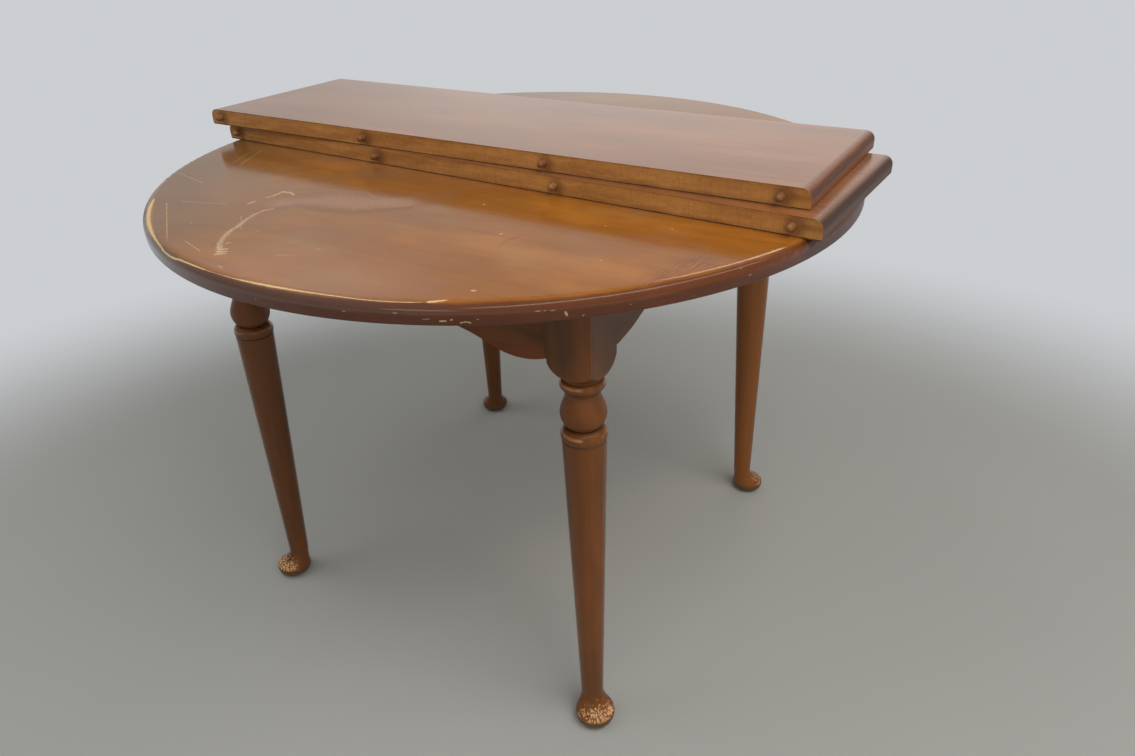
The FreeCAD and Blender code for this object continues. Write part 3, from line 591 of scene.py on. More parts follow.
SCRATCHED_PATCH = [(406, -326, 428, -250, 22.0, 0.2, 0.8)]
PALE_HATCHES = 9                         # the first of them are pale, the others dark
STAINED_MARKS = (                        # strokes, share and paint, in the order they are laid
    (SPILL_EDGE, 0.30, (196, 152, 104)), (SPILL_POOL, 0.28, (178, 142, 118)),
    (SPILL_SHADOW, 0.45, (104, 62, 26)), (SMUDGE, 0.75, (84, 50, 28)),
    (SCRATCHED_PATCH, 0.40, (118, 60, 30)), (HATCHED[:PALE_HATCHES], 0.36, (196, 140, 92)),
    (HATCHED[PALE_HATCHES:], 0.45, (92, 48, 24)))
HAZE = (                                 # start, share and paint: olive, mauve and amber
    (0.50, 0.50, (150, 116, 72)), (0.50, 0.45, (132, 92, 70)), (0.52, 0.55, (178, 112, 42)))

# %% [markdown]
# The rubbed line follows the rim, so it is written in polar form. Two curves over the angle give
# its distance from the middle and its width. The chips on the side of the rim are strokes on the
# same mark group, with the rim rolled out flat: the arc length is one axis and the height is the
# other.

# %% A chart of the rim
RUB_FROM, RUB_TO = -132.0, -60.0         # degrees round the rim
RUB_SPAN = RUB_TO - RUB_FROM
RUB_IN, RUB_DEEP = 518.0, 16.0           # its nearest place to the middle, and the span of its wander
RUB_WIDE = 6.0                           # half width that a curve height of 1 stands for
RUB_PLACE = [
    (-132, 520), (-127, 522), (-121, 525), (-115, 527), (-110, 529), (-106, 531), (-102, 529),
    (-92, 527), (-80, 525), (-68, 527), (-62, 523), (-60, 522)]
RUB_WIDTH = [
    (-132, 0.0), (-129, 2.4), (-123, 3.4), (-117, 2.7), (-113, 1.4), (-108, 0.8), (-103, 0.9),
    (-98, 0.7), (-95, 0.2), (-92, 0.3), (-89, 0.9), (-85, 1.4), (-81, 1.1), (-76, 0.6), (-70, 0.4),
    (-65.4, 0.3), (-64.9, 0.0), (-64.4, 1.4), (-62.8, 1.2), (-62.2, 0.0), (-60, 0.0)]
CHIPS = [
    (-74.6, 11.7, -74.3, 12.0, 1.1, 0.6), (-68.5, 14.2, -68.1, 14.0, 1.0, 0.5),
    (-65.2, 8.1, -64.4, 8.6, 1.0, 0.4), (-63.3, 5.9, -62.6, 6.4, 1.6, 0.9),
    (-62.1, 7.5, -61.9, 7.8, 1.2, 0.9), (-61.0, 4.2, -60.5, 5.4, 1.3, 0.9),
    (-60.5, 5.4, -59.9, 4.2, 1.2, 0.9), (-59.2, 7.8, -59.0, 8.0, 0.9, 0.4),
    (-52.7, 13.9, -52.2, 13.8, 0.8, 0.6), (-51.8, 13.7, -51.6, 13.8, 0.7, 0.6),
    (-51.1, 13.2, -50.6, 13.4, 0.8, 0.6), (-49.4, 9.6, -49.3, 6.2, 2.2, 0.9),
    (-47.5, 3.8, -47.3, 5.0, 1.6, 0.4), (-42.0, 9.0, -41.9, 9.4, 1.0, 0.5),
    (-25.9, 11.4, -25.6, 11.7, 1.2, 0.5), (-27.2, 21.6, -27.0, 20.6, 1.1, 0.4),
    (-86.9, 9.4, -86.7, 9.6, 0.9, 0.5), (-34.0, 5.0, -33.9, 5.2, 0.8, 0.4)]
NEVER_ZERO = 0.00001                     # keeps a width from dividing by nothing
MM_PER_DEGREE = math.radians(1) * RIM / MM
CHIP_STROKES = [(a * MM_PER_DEGREE, v0, b * MM_PER_DEGREE, v1, 0.75 * half_width, 0.5, share)
                for a, v0, b, v1, half_width, share in CHIPS]
print(f"{len(SCUFFS) + len(BRIGHT) + len(HATCHED)} marks on the flat, {len(CHIPS)} chips on the rim")


# %% Top finish
def finish_top():
    """Stained and lacquered maple with a worn rim, scratches, bare seam faces and underside."""
    material, t, (x, y, z), shade, height = start_wood(
        "stained_top", "x", STAIN_LIGHT, STAIN_DEEP, cloud=1.0, figure=0.07)
    flat, point = t.join(x, y, 0.0), t.join(x, y, z)
    radius = t.vector("LENGTH", flat)
    angle = t.times(t.maths("ARCTAN2", y, x), 180 / math.pi)

    # Painted shade: a duller brown over the far left, standing in for the dimmer reflection of a shaded
    # corner; the right front keeps its orange warmth.
    clear_of_left_shade = t.ramp(t.line(y, -0.35, x), -0.40, 0.40)
    shade = t.tint(shade, t.minus(1.0, clear_of_left_shade), 0.55, 127, 93, 58)

    # Clouds in the old lacquer: olive, mauve and amber.
    spread = t.vector("MULTIPLY", flat, (4.5, 8.0, 0.0))
    hazy = t.add("ShaderNodeTexNoise", named={
        "Vector": spread, "Scale": 1.0, "Detail": 3.0, "Roughness": 0.6})
    for cloud, (start, share, paint) in zip(t.split(hazy.outputs["Color"]), HAZE):
        shade = t.tint(shade, t.ramp(cloud, start, start + 0.22), share, *paint)

    # Painted shade darker towards the left rim, a painted mauve sheen (bloom) inside the front rim, and
    # amber on the right.
    painted_left_rim_shade = t.times(t.ramp(radius, 0.41, 0.49), t.ramp(x, -0.10, -0.22))
    painted_left_rim_shade = t.most(painted_left_rim_shade, t.ramp(x, -0.36, -0.50))
    shade = t.tint(shade, painted_left_rim_shade, 0.42, 86, 60, 38)
    bloom = t.times(t.ramp(y, -0.34, -0.48), t.times(t.ramp(x, -0.12, 0.0), t.ramp(x, 0.26, 0.12)))
    shade = t.tint(shade, bloom, 0.26, 178, 138, 118)
    shade = t.tint(shade, t.ramp(x, 0.22, 0.36), 0.04, 204, 124, 36)

    # Darker round-over and side; at the front left the round-over is painted a greyer slate, a painted
    # reflection of the pale room.
    mottle = t.noise(point, (20.0, 20.0, 60.0), detail=4.0, roughness=0.6)
    rim = t.ramp(t.line(mottle, 0.006, radius), RIM - ROUND_OVER + 0.0065, RIM - 0.001)
    front_left_painted_sheen = t.times(t.ramp(y, -0.05, -0.35), t.ramp(x, 0.40, 0.10))
    turn_shade = t.blend(front_left_painted_sheen, colour(98, 50, 24), colour(82, 56, 46))
    side_shade = t.blend(mottle, colour(60, 25, 11), colour(92, 44, 19))
    side = t.ramp(t.line(mottle, 0.008, z), TOP_LOW + 0.0205, TOP_LOW + 0.0135)
    shade = t.blend(t.times(rim, 0.92), shade, t.blend(side, turn_shade, side_shade))

    # Thicker stain and painted shade on the right hand rim, from under the leaves' overhang to the
    # back.
    thick_stain_and_shade = t.times(rim, t.ramp(angle, -17.0, -14.5))
    shade = t.tint(shade, thick_stain_and_shade, 0.45, 28, 12, 6)

    # The outline of an old spill, a smudge, and a patch of fine parallel scratches.
    torn = t.noise(point, (330.0, 330.0, 330.0), detail=4.0, roughness=0.6)
    upper = t.ramp(z, TOP_HIGH - 0.004, TOP_HIGH - 0.002)
    for strokes, share, paint in STAINED_MARKS:
        shade = t.tint(shade, marks(t, flat, torn, strokes), share, *paint)

    # Scuffs, and scratches that reach the wood.
    scuffed = t.times(marks(t, flat, torn, SCUFFS), upper)
    scratched = t.times(marks(t, flat, torn, BRIGHT), upper)
    shade = t.blend(scuffed, shade, colour(224, 200, 166))

    # The rubbed line on the left front of the rim.
    share = t.over(t.minus(angle, RUB_FROM), RUB_SPAN, clamp=True)
    place = t.curve(share, [
        ((a - RUB_FROM) / RUB_SPAN, (r - RUB_IN) / RUB_DEEP) for a, r in RUB_PLACE])
    width = t.curve(share, [((a - RUB_FROM) / RUB_SPAN, w / RUB_WIDE) for a, w in RUB_WIDTH])
    place = t.line(place, RUB_DEEP * MM, RUB_IN * MM)
    width = t.line(t.most(width, 0.0), RUB_WIDE * MM, NEVER_ZERO)
    off = t.over(t.size(t.minus(radius, place)), width)
    off = t.line(t.minus(torn, 0.5), 2.0, off)
    on_rim = t.ramp(z, TOP_HIGH - 0.008, TOP_HIGH - 0.006)
    rubbed = t.times(t.ramp(off, 1.05, 0.45), on_rim)
    thinned = t.times(t.ramp(off, 2.2, 0.9), on_rim)
    shade = t.tint(shade, thinned, 0.25, 184, 142, 96)

    # Chips on the side of the rim.
    rolled = t.join(t.times(angle, MM_PER_DEGREE * MM), t.minus(z, TOP_LOW), 0.0)
    outer = t.ramp(radius, RIM - 0.010, RIM - 0.008)
    chipped = t.times(marks(t, rolled, torn, CHIP_STROKES), outer)
    bared = t.most(t.most(rubbed, scratched), chipped)
    shade = t.blend(bared, shade, t.blend(torn, colour(204, 164, 108), BARE))

    # Bare wood under the table and on the seam faces.
    planed = t.noise(point, (4.0, 90.0, 90.0), detail=4.0)
    bare = t.blend(planed, colour(176, 138, 92), colour(203, 168, 118))
    drift = t.line(t.noise(point, (14.0, 14.0, 1.0)), 0.05, radius)
    bare = t.blend(t.times(t.ramp(drift, RIM - 0.09, RIM + 0.01), 0.75), bare, STAIN_DEEP)
    below = t.ramp(z, TOP_LOW + 0.0006, TOP_LOW + 0.0001)
    seam = t.ramp(t.size(y), 0.0005, 0.0003)
    unfinished = t.most(below, seam)
    shade = t.blend(unfinished, shade, bare)
    dull = t.most(t.most(unfinished, bared), t.times(scuffed, 0.8))
    sides = t.most(t.ramp(angle, -22, -8), t.ramp(angle, -112, -132))
    dull = t.most(dull, t.times(rim, t.line(sides, 0.55, 0.06)))
    return end_wood(material, t, shade, height, gloss=0.15, worn=dull)


top_finish = finish_top()
print(f"top finish: {len(top_finish.node_tree.nodes)} nodes")

# %% [markdown]
# ## The loose leaves
#
# A leaf is the same board cut straight. Its face and its two rounded ends are stained, and its
# long edges are bare, because they meet the next board. They show the planer's tiny upright
# ripples, a dark line where stain ran over the upper arris, smudges round the dowels with painted
# shadow beside them, and a near-black line at their foot that is partly a dark arris and partly
# painted contact shadow. The rounded ends carry painted reflections and a painted band of shade,
# and the lower leaf's end is painted dark as if in shadow. Each leaf lies turned its own way, so a
# Mapping node first brings the point into the leaf's own frame.

# %% The leaf's own frame
LEAF_TURNS = {"lower_leaf": math.radians(-2.0), "upper_leaf": 0.0}
# The upper leaf's end keeps its stain; the lower leaf's end is painted dark, painted shade.
LEAF_END_STAIN_AND_SHADE = {"lower_leaf": colour(46, 25, 14), "upper_leaf": colour(122, 68, 36)}
DOWEL_PLACES = (-0.508, -0.173, 0.162, 0.497)
SMUDGE_AND_SHADOW_SHIFT = 0.004                     # the smudges and their painted shadows sit a little to one side of the dowels
LEAF_HALF_LENGTH = 0.5334
LEAF_SIDE = (0.1519, 0.1521)             # where the bare long edges begin, across the board
LEAF_UNDER = (-0.01255, -0.01265)        # where the bare underside begins
LEAF_LOG = (3.1, 0.02, 0.7)              # another part of the log than the top's
LEAF_COAT = 0.5


# %% Leaf finish
def finish_leaf(name):
    """Stained face and ends, bare long edges with planer marks, bare underside."""
    material, t, shader, point = new_material(f"stained_{name}")
    low_corner, high_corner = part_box(f"{name}_board")
    own = t.add("ShaderNodeMapping", vector_type="TEXTURE", named={
        "Vector": point, "Location": tuple((low_corner + high_corner) / 2),
        "Rotation": (0, 0, LEAF_TURNS[name])}).outputs[0]
    u, v, w = t.split(own)
    shifted = t.vector("ADD", own, LEAF_LOG)
    shade, height = lay_maple(t, shifted, colour(170, 108, 64), colour(98, 60, 38), 1.0, 0.12)
    rounded = t.ramp(t.size(u), LEAF_HALF_LENGTH - 0.010, LEAF_HALF_LENGTH - 0.003)
    # Painted light on the rounded ends: a greyer painted reflection where the round-over begins, a dark
    # painted band of shade at its shoulder, and a lighter painted reflection below that.
    painted_end_reflection = t.ramp(t.size(u), LEAF_HALF_LENGTH - 0.016, LEAF_HALF_LENGTH - 0.009)
    shade = t.tint(shade, painted_end_reflection, 0.45, 112, 84, 72)
    shade = t.blend(t.times(rounded, 0.75), shade, LEAF_END_STAIN_AND_SHADE[name])
    smear = t.noise(own, (40.0, 12.0, 140.0), detail=4.0, roughness=0.65)
    level = t.line(t.minus(smear, 0.5), 0.006, w)
    painted_shoulder_shade = t.times(t.ramp(level, -0.0015, 0.0015), t.ramp(level, 0.0105, 0.0070))
    shade = t.tint(shade, t.times(rounded, painted_shoulder_shade), 0.66, 44, 22, 13)
    # below is the lighter painted reflection low on the rounded end.
    below = t.times(rounded, t.ramp(level, -0.0005, -0.0035))
    shade = t.tint(shade, below, 0.18, 104, 80, 64)

    # The bare long edges.
    side = t.ramp(t.size(v), *LEAF_SIDE)
    ripple = t.noise(own, (520.0, 3.0, 16.0), detail=3.0)
    cloud = t.noise(own, (9.0, 3.0, 60.0), detail=5.0, roughness=0.7)
    raw = t.blend(t.ramp(cloud, 0.22, 0.80), colour(149, 96, 48), colour(201, 145, 77))
    cells = t.noise(own, (330.0, 3.0, 260.0), detail=4.0, roughness=0.65)
    raw = t.tint(raw, t.ramp(cells, 0.46, 0.74), 0.32, 108, 66, 32)
    raw = t.tint(raw, t.ramp(ripple, 0.40, 0.75), 0.16, 112, 68, 32)
    run = t.line(t.noise(own, (40.0, 3.0, 3.0), detail=3.0), 0.0040, w)
    raw = t.tint(raw, t.ramp(run, 0.0125, 0.0145), 0.45, 92, 52, 28)
    # A near-black line along the foot of each edge: a dark arris and a painted contact shadow where the
    # leaf rests.
    low = t.line(t.noise(own, (60.0, 3.0, 3.0), detail=3.0), 0.0012, w)
    raw = t.tint(raw, t.ramp(low, -0.0102, -0.0110), 0.92, 40, 20, 11)
    # Smudges round the dowels, with painted shadow on one side of each.
    nearest = t.gather("MINIMUM", (
        t.size(t.minus(u, place + SMUDGE_AND_SHADOW_SHIFT)) for place in DOWEL_PLACES))
    smudge_and_shadow_reach = t.vector("LENGTH", t.join(nearest, w, 0.0))
    smudge_and_shadow_reach = t.line(cloud, 0.010, smudge_and_shadow_reach)
    raw = t.tint(raw, t.ramp(smudge_and_shadow_reach, 0.024, 0.011), 0.55, 96, 58, 32)
    under = t.ramp(w, *LEAF_UNDER)
    raw = t.blend(under, raw, colour(190, 150, 100))
    bare = t.most(side, under)
    shade = t.blend(bare, shade, raw)
    dull = t.most(bare, t.times(rounded, 0.9))
    t.feed(shader.inputs["Coat Weight"], t.times(t.minus(1.0, dull), LEAF_COAT))
    return end_wood(material, t, shade, height, gloss=0.20, worn=dull, specular=0.4)


leaf_finishes = {name: finish_leaf(name) for name in LEAF_TURNS}
print(f"leaf finishes for {', '.join(leaf_finishes)}")

# %% [markdown]
# ## Legs and aprons
#
# The base is darker than the top. On the legs the grain runs up and down, and stain gathers in
# every groove of the turning. Shoes have knocked the toes of the pad feet: the lacquer has come
# off in pale flecks, most of all on the front right foot. Light is painted on too: painted
# highlights on the bead and ring, painted shade on the left legs, on the post's sides and under
# the top, and painted light on the back right leg. The aprons have their grain along the board, a
# darker band in the corner with the top, and a rubbed lower edge.

# %% Leg finish
LEG_LIGHT, LEG_DEEP = colour(133, 77, 29), colour(88, 50, 19)
GROOVES = ((0.5935, 0.0014), (0.5735, 0.0012), (0.5215, 0.0012), (0.5028, 0.0008))
GROOVE_FADE = 0.0016
# Where the pale painted highlights lie on the bead and on the ring.
PAINTED_GLINT_HEIGHTS = (0.5855, 0.5148)          # heights on the bead and on the ring
GLINT_HALF, GLINT_FADE = 0.0008, 0.0017
VASE_FOOT, VASE_NECK = (0.5225, 0.5275), (0.572, 0.566)
# The post begins at the first pair of heights; the second is where painted shade darkens the post under
# the top.
POST_FOOT, SHADE_UNDER_TOP = (0.598, 0.606), (0.690, 0.7175)
POST_FACE = (0.3355, 0.3365)             # out from the middle, the face that looks to the front
FOOT_CENTRE = 0.330


def finish_leg():
    """Brown stain gathered in the grooves, with pale flecks on the toes."""
    material, t, (x, y, z), shade, height = start_wood(
        "stained_leg", "z", LEG_LIGHT, LEG_DEEP, cloud=1.2, figure=0.06)
    point = t.join(x, y, z)
    groove = t.gather("MAXIMUM", (
        t.stripe(z, place, half_width, GROOVE_FADE) for place, half_width in GROOVES))
    shade = t.tint(shade, groove, 0.38, 48, 26, 13)

    # Old dirt: olive streaks, most of all on the square post, and amber where hands have polished.
    grime = t.noise(point, (42.0, 42.0, 5.0), detail=4.0, roughness=0.65)
    polish = t.noise(point, (9.0, 9.0, 2.5), detail=2.0)
    dirty = t.times(t.ramp(grime, 0.42, 0.70), t.line(t.ramp(z, 0.60, 0.64), 0.25, 0.30))
    shade = t.blend(dirty, shade, colour(62, 46, 28))
    shade = t.tint(shade, t.ramp(polish, 0.52, 0.70), 0.30, 158, 88, 30)
    # Painted light: the back right leg is painted warmer and lighter, as if lit from the right.
    painted_light_back_right = t.ramp(t.plus(x, y), 0.35, 0.60)
    shade = t.tint(shade, painted_light_back_right, 0.28, 178, 108, 46)

    # Painted highlight: a broken pale line on the upper curve of the bead and of the ring, where a low
    # light from the front would glint.
    line = t.gather("MAXIMUM", (
        t.stripe(z, place, GLINT_HALF, GLINT_FADE) for place in PAINTED_GLINT_HEIGHTS))
    line = t.times(line, t.ramp(t.noise(point, (38.0, 38.0, 5.0), detail=2.0), 0.38, 0.58))
    shade = t.tint(shade, line, 0.50, 200, 146, 102)

    # The post is darker beside the apron and polished along its outer arris; its side faces and its top
    # under the table are painted darker, painted shade.
    inward = t.least(t.size(x), t.size(y))
    inward = t.line(t.minus(grime, 0.5), 0.010, inward)
    post = t.ramp(z, *POST_FOOT)
    beside = t.times(post, t.ramp(inward, 0.314, 0.300))
    facing = t.ramp(t.size(y), *POST_FACE)
    arris = t.times(post, t.ramp(inward, 0.308, 0.326))
    painted_side_shade = t.times(post, t.minus(1.0, facing))
    shade = t.tint(shade, beside, 0.35, 60, 44, 28)
    shade = t.tint(shade, t.times(arris, facing), 0.35, 150, 90, 44)
    # Painted shade on the post's side faces and under the top.
    shade = t.tint(shade, painted_side_shade, 0.30, 86, 44, 16)
    shade = t.tint(shade, t.ramp(z, *SHADE_UNDER_TOP), 0.35, 50, 38, 26)

    # Toes: vertical flecks that thicken downwards, most on the front right foot; then the dark sole,
    # partly dirt and partly painted shade where the foot curves under.
    out_x = t.minus(t.size(x), FOOT_CENTRE)
    out_y = t.minus(t.size(y), FOOT_CENTRE)
    left_wear_and_shade = t.ramp(x, 0.1, -0.1)
    # Painted shade: the left legs are painted darker.
    shade = t.tint(shade, left_wear_and_shade, 0.22, 58, 42, 24)
    outward = t.line(left_wear_and_shade, 0.013, t.plus(out_x, out_y))
    toe = t.ramp(outward, -0.006, 0.016)
    band = t.times(t.ramp(z, 0.0165, 0.0195), t.ramp(z, 0.050, 0.036))
    kicked = t.times(t.ramp(y, 0.1, -0.1), t.line(left_wear_and_shade, 0.015, 0.06))
    kicked = t.line(t.ramp(z, 0.024, 0.042), -0.15, t.minus(kicked, 0.01))
    fleck = t.noise(point, (300.0, 300.0, 110.0), detail=3.0, roughness=0.6)
    fleck = t.ramp(t.plus(fleck, kicked), 0.535, 0.575)
    flecks = t.times(fleck, t.times(toe, band))
    share = t.times(flecks, 0.90)
    knocked = t.blend(grime, colour(196, 142, 92), colour(228, 184, 136))
    shade = t.blend(share, shade, knocked)
    # The dark sole: dirt and painted shade.
    shade = t.tint(shade, t.ramp(z, 0.0190, 0.0160), 0.75, 92, 70, 40)
    vase = t.times(t.ramp(z, *VASE_FOOT), t.ramp(z, *VASE_NECK))
    dull = t.most(t.most(flecks, t.times(groove, 0.7)), t.times(vase, 0.6))
    return end_wood(material, t, shade, height, gloss=0.22, worn=dull, specular=0.36)


leg_finish = finish_leg()


# %% Apron finish
def finish_apron(name, along, shadow):
    """Brown stain with the grain along the board, dull at the corner with the top."""
    material, t, (x, y, z), shade, height = start_wood(
        name, along, LEG_LIGHT, LEG_DEEP, cloud=1.3, figure=0.10)
    shade = t.blend(shadow, shade, colour(48, 32, 22))
    grime = t.noise(t.join(x, y, z), (14.0, 14.0, 40.0), detail=4.0, roughness=0.65)
    shade = t.tint(shade, t.ramp(grime, 0.42, 0.68), 0.50, 58, 44, 28)
    ragged = t.line(grime, 0.02, z)
    shade = t.tint(shade, t.ramp(ragged, 0.680, 0.7250), 0.55, 50, 38, 26)
    shade = t.tint(shade, t.ramp(ragged, 0.652, 0.620), 0.45, 140, 68, 34)
    return end_wood(material, t, shade, height, gloss=0.28, specular=0.26)


apron_finishes = {
    "long": finish_apron("stained_long_apron", "x", 0.16),
    "side": finish_apron("stained_side_apron", "y", 0.30),
}
print("leg and apron finishes")


# %% [markdown]
# ## Wood that nobody sees
#
# The slides, blocks and tie are planed maple without any finish. Where rail runs on rail, years
# of paraffin wax and dust have left a grey-brown track.


# %% Plain hardwood
def finish_plain(name, along, waxed):
    """Planed maple, unfinished; waxed adds the dusty track of a sliding face."""
    material, t, (x, y, z), shade, height = start_wood(
        name, along, colour(214, 180, 128), colour(166, 124, 78), cloud=0.9, figure=0.16)
    dust = t.noise(t.join(x, y, z), (30.0, 6.0, 60.0), detail=4.0)
    shade = t.tint(shade, t.ramp(dust, 0.35, 0.85), 0.30 + waxed * 0.35, 120, 98, 76)
    return end_wood(material, t, shade, height, gloss=0.55 - 0.15 * waxed)


slide_finish = finish_plain("waxed_slide", "y", 1.0)
cross_finish = finish_plain("planed_cross", "x", 0.0)
print("plain hardwood finishes")


# %% [markdown]
# ## Dowel and steel
#
# The dowels are birch, browned by stain and by fingers, and dull because they have no lacquer. The
# steel is zinc plated: grey with a faint yellow bloom, and a little mottled.


# %% Dowel finish
def finish_dowel():
    """Birch dowel, browned by handling."""
    material, t, _, shade, height = start_wood(
        "handled_dowel", "y", colour(152, 104, 62), colour(96, 60, 32), cloud=1.4, figure=0.05)
    return end_wood(material, t, shade, height, gloss=0.50)


def finish_steel():
    """Zinc plated steel, a little mottled."""
    material, t, shader, point = new_material("zinc_plated_steel")
    mottle = t.noise(point, (260.0, 260.0, 260.0), detail=4.0)
    bloom = t.noise(point, (70.0, 70.0, 70.0), detail=2.0)
    shade = t.blend(bloom, colour(176, 178, 180), colour(196, 190, 168))
    shade = t.tint(shade, t.ramp(mottle, 0.55, 0.75), 0.5, 120, 116, 108)
    t.feed(shader.inputs["Base Color"], shade)
    shader.inputs["Metallic"].default_value = 1.0
    t.feed(shader.inputs["Roughness"], t.line(mottle, 0.25, 0.25))
    bump = t.add("ShaderNodeBump", named={"Height": mottle, "Strength": 0.3, "Distance": 0.0001})
    t.feed(shader.inputs["Normal"], bump.outputs[0])
    return material


dowel_finish, steel_finish = finish_dowel(), finish_steel()
print("dowel and steel finishes")


# %% [markdown]
# ## Giving each solid its finish
#
# The solids keep their shapes, and only their material slots change. A node's own name says what
# it is, so one list of name endings is enough.

# %% Assign the finishes
FINISH_BY_ENDING = (
    ("_top", top_finish), ("_leg", leg_finish), ("_side_apron", apron_finishes["side"]),
    ("_apron", apron_finishes["long"]), ("middle_rail_tie", cross_finish),
    ("_block", cross_finish), ("_blocks", cross_finish), ("_rail", slide_finish),
    ("_keys", slide_finish), ("_stops", slide_finish), ("_pins", dowel_finish),
    ("lower_leaf_board", leaf_finishes["lower_leaf"]),
    ("upper_leaf_board", leaf_finishes["upper_leaf"]),
)


def finish_for(name):
    """The material for a node, by the first ending that fits; metal if none does."""
    return next((m for ending, m in FINISH_BY_ENDING if name.endswith(ending)), steel_finish)


for name, node in nodes.items():
    for slot in node.material_slots:
        slot.material = finish_for(name)
print("every solid has its finish")

# %% [markdown]
# ## Screws, bolts, nuts and dowels: one shape, many sizes
#
# A wood screw, a hanger bolt, a nailed glide and a dowel are all turned things: a domed head, a
# shank, and a tip. So one Geometry Nodes group makes them all. It bends a flat grid round an axis:
# rows become stations along the axis, columns become angles, and the radius at each station comes
# from a formula. A thread is one more term in that formula, a wave that climbs one pitch for each
# turn. Only the sizes change from screw to dowel.


# %% The turned group
HEAD_ROWS = 7
WELD = 0.00001                           # points closer than this become one


def build_turned():
    """Node group: a closed turned solid on +Z, from the top of its head at 0 to its tip at Length."""
    group, t, given, out = new_group("turned", "GeometryNodeTree", (
        ("Length", "Float"), ("Head radius", "Float"), ("Head height", "Float"),
        ("Shank radius", "Float"), ("Tip length", "Float"), ("Tip power", "Float"),
        ("Pitch", "Float"), ("Thread depth", "Float"), ("Plain part", "Float"),
        ("Bunching", "Float"), ("Rows", "Int"), ("Sides", "Int")), (("Geometry", "Geometry"),))
    grid = t.add("GeometryNodeMeshGrid", 1.0, 1.0, given["Rows"], given["Sides"]).outputs["Mesh"]
    x, y, _ = t.split(t.add("GeometryNodeInputPosition").outputs[0])
    last_row = t.minus(given["Rows"], 1.0)
    row = t.maths("ROUND", t.times(t.plus(x, 0.5), last_row))
    angle = t.times(t.plus(y, 0.5), FULL_TURN)

    # The domed head: a quarter of an ellipse.
    rise = t.times(row, math.pi / 2 / HEAD_ROWS)
    head_z = t.times(given["Head height"], t.minus(1.0, t.maths("COSINE", rise)))
    head_r = t.times(given["Head radius"], t.maths("SINE", rise))

    # The shank, with its thread and its tip.
    share = t.over(t.minus(row, HEAD_ROWS + 1.0), t.minus(last_row, HEAD_ROWS + 1.0), clamp=True)
    left = t.maths("POWER", t.minus(1.0, share), given["Bunching"])
    left = t.times(left, t.minus(given["Length"], given["Head height"]))
    shank_z = t.minus(given["Length"], left)
    tip = t.maths("POWER", t.over(left, given["Tip length"], clamp=True), given["Tip power"])
    climb = t.over(shank_z, given["Pitch"])
    phase = t.maths("FRACT", t.minus(climb, t.over(angle, FULL_TURN)))
    valley = t.size(t.line(phase, 2.0, -1.0))
    threaded = t.maths("GREATER_THAN", shank_z, given["Plain part"])
    cut = t.times(t.times(valley, given["Thread depth"]), threaded)
    shank_r = t.times(t.minus(given["Shank radius"], cut), tip)

    on_shank = t.maths("GREATER_THAN", row, HEAD_ROWS + 0.5)
    radius = t.line(on_shank, t.minus(shank_r, head_r), head_r)
    height = t.line(on_shank, t.minus(shank_z, head_z), head_z)
    place = t.join(t.times(radius, t.maths("COSINE", angle)),
                   t.times(radius, t.maths("SINE", angle)), height)
    bent = t.add("GeometryNodeSetPosition", named={"Geometry": grid, "Position": place}).outputs[0]
    outward = t.add("GeometryNodeFlipFaces", bent).outputs[0]
    closed = t.add("GeometryNodeMergeByDistance", named={"Geometry": outward, "Distance": WELD})
    t.feed(out["Geometry"], closed.outputs[0])
    return group


turned = build_turned()
print(f"turned group: {len(turned.nodes)} nodes")

# %% [markdown]
# ## The slot, the hexagon and the hole
#
# A screw's slot is sawn across its head, so a box is subtracted from the turned shape. A nut is
# made the way a machine shop makes it: a length of hexagonal bar, its corners turned off, then
# drilled and tapped. The drill is the turned group again, with a thread. A washer is the same
# ring with many sides, no thread, and edges that the punch has rounded.


# %% The slotted and ring groups
def build_slotted():
    """Node group: the turned solid with a slot sawn across the top of its head."""
    sizes = inputs_of(turned)
    group, t, given, out = new_group("slotted", "GeometryNodeTree", sizes + [
        ("Slot width", "Float"), ("Slot depth", "Float")], (("Geometry", "Geometry"),))
    blank = t.add("GeometryNodeGroup", node_tree=turned, named={name: given[name] for name, _ in sizes})
    size = t.join(given["Slot width"], t.times(given["Head radius"], 2.4),
                  t.times(given["Slot depth"], 2.0))
    saw = t.add("GeometryNodeMeshCube", size).outputs["Mesh"]
    cut = t.add("GeometryNodeMeshBoolean", operation="DIFFERENCE", named={
        "Mesh 1": blank.outputs["Geometry"], "Mesh 2": saw})
    t.feed(out["Geometry"], cut.outputs["Mesh"])
    return group


SQUARE_END = 0.0002                      # a drill's ends are as good as flat


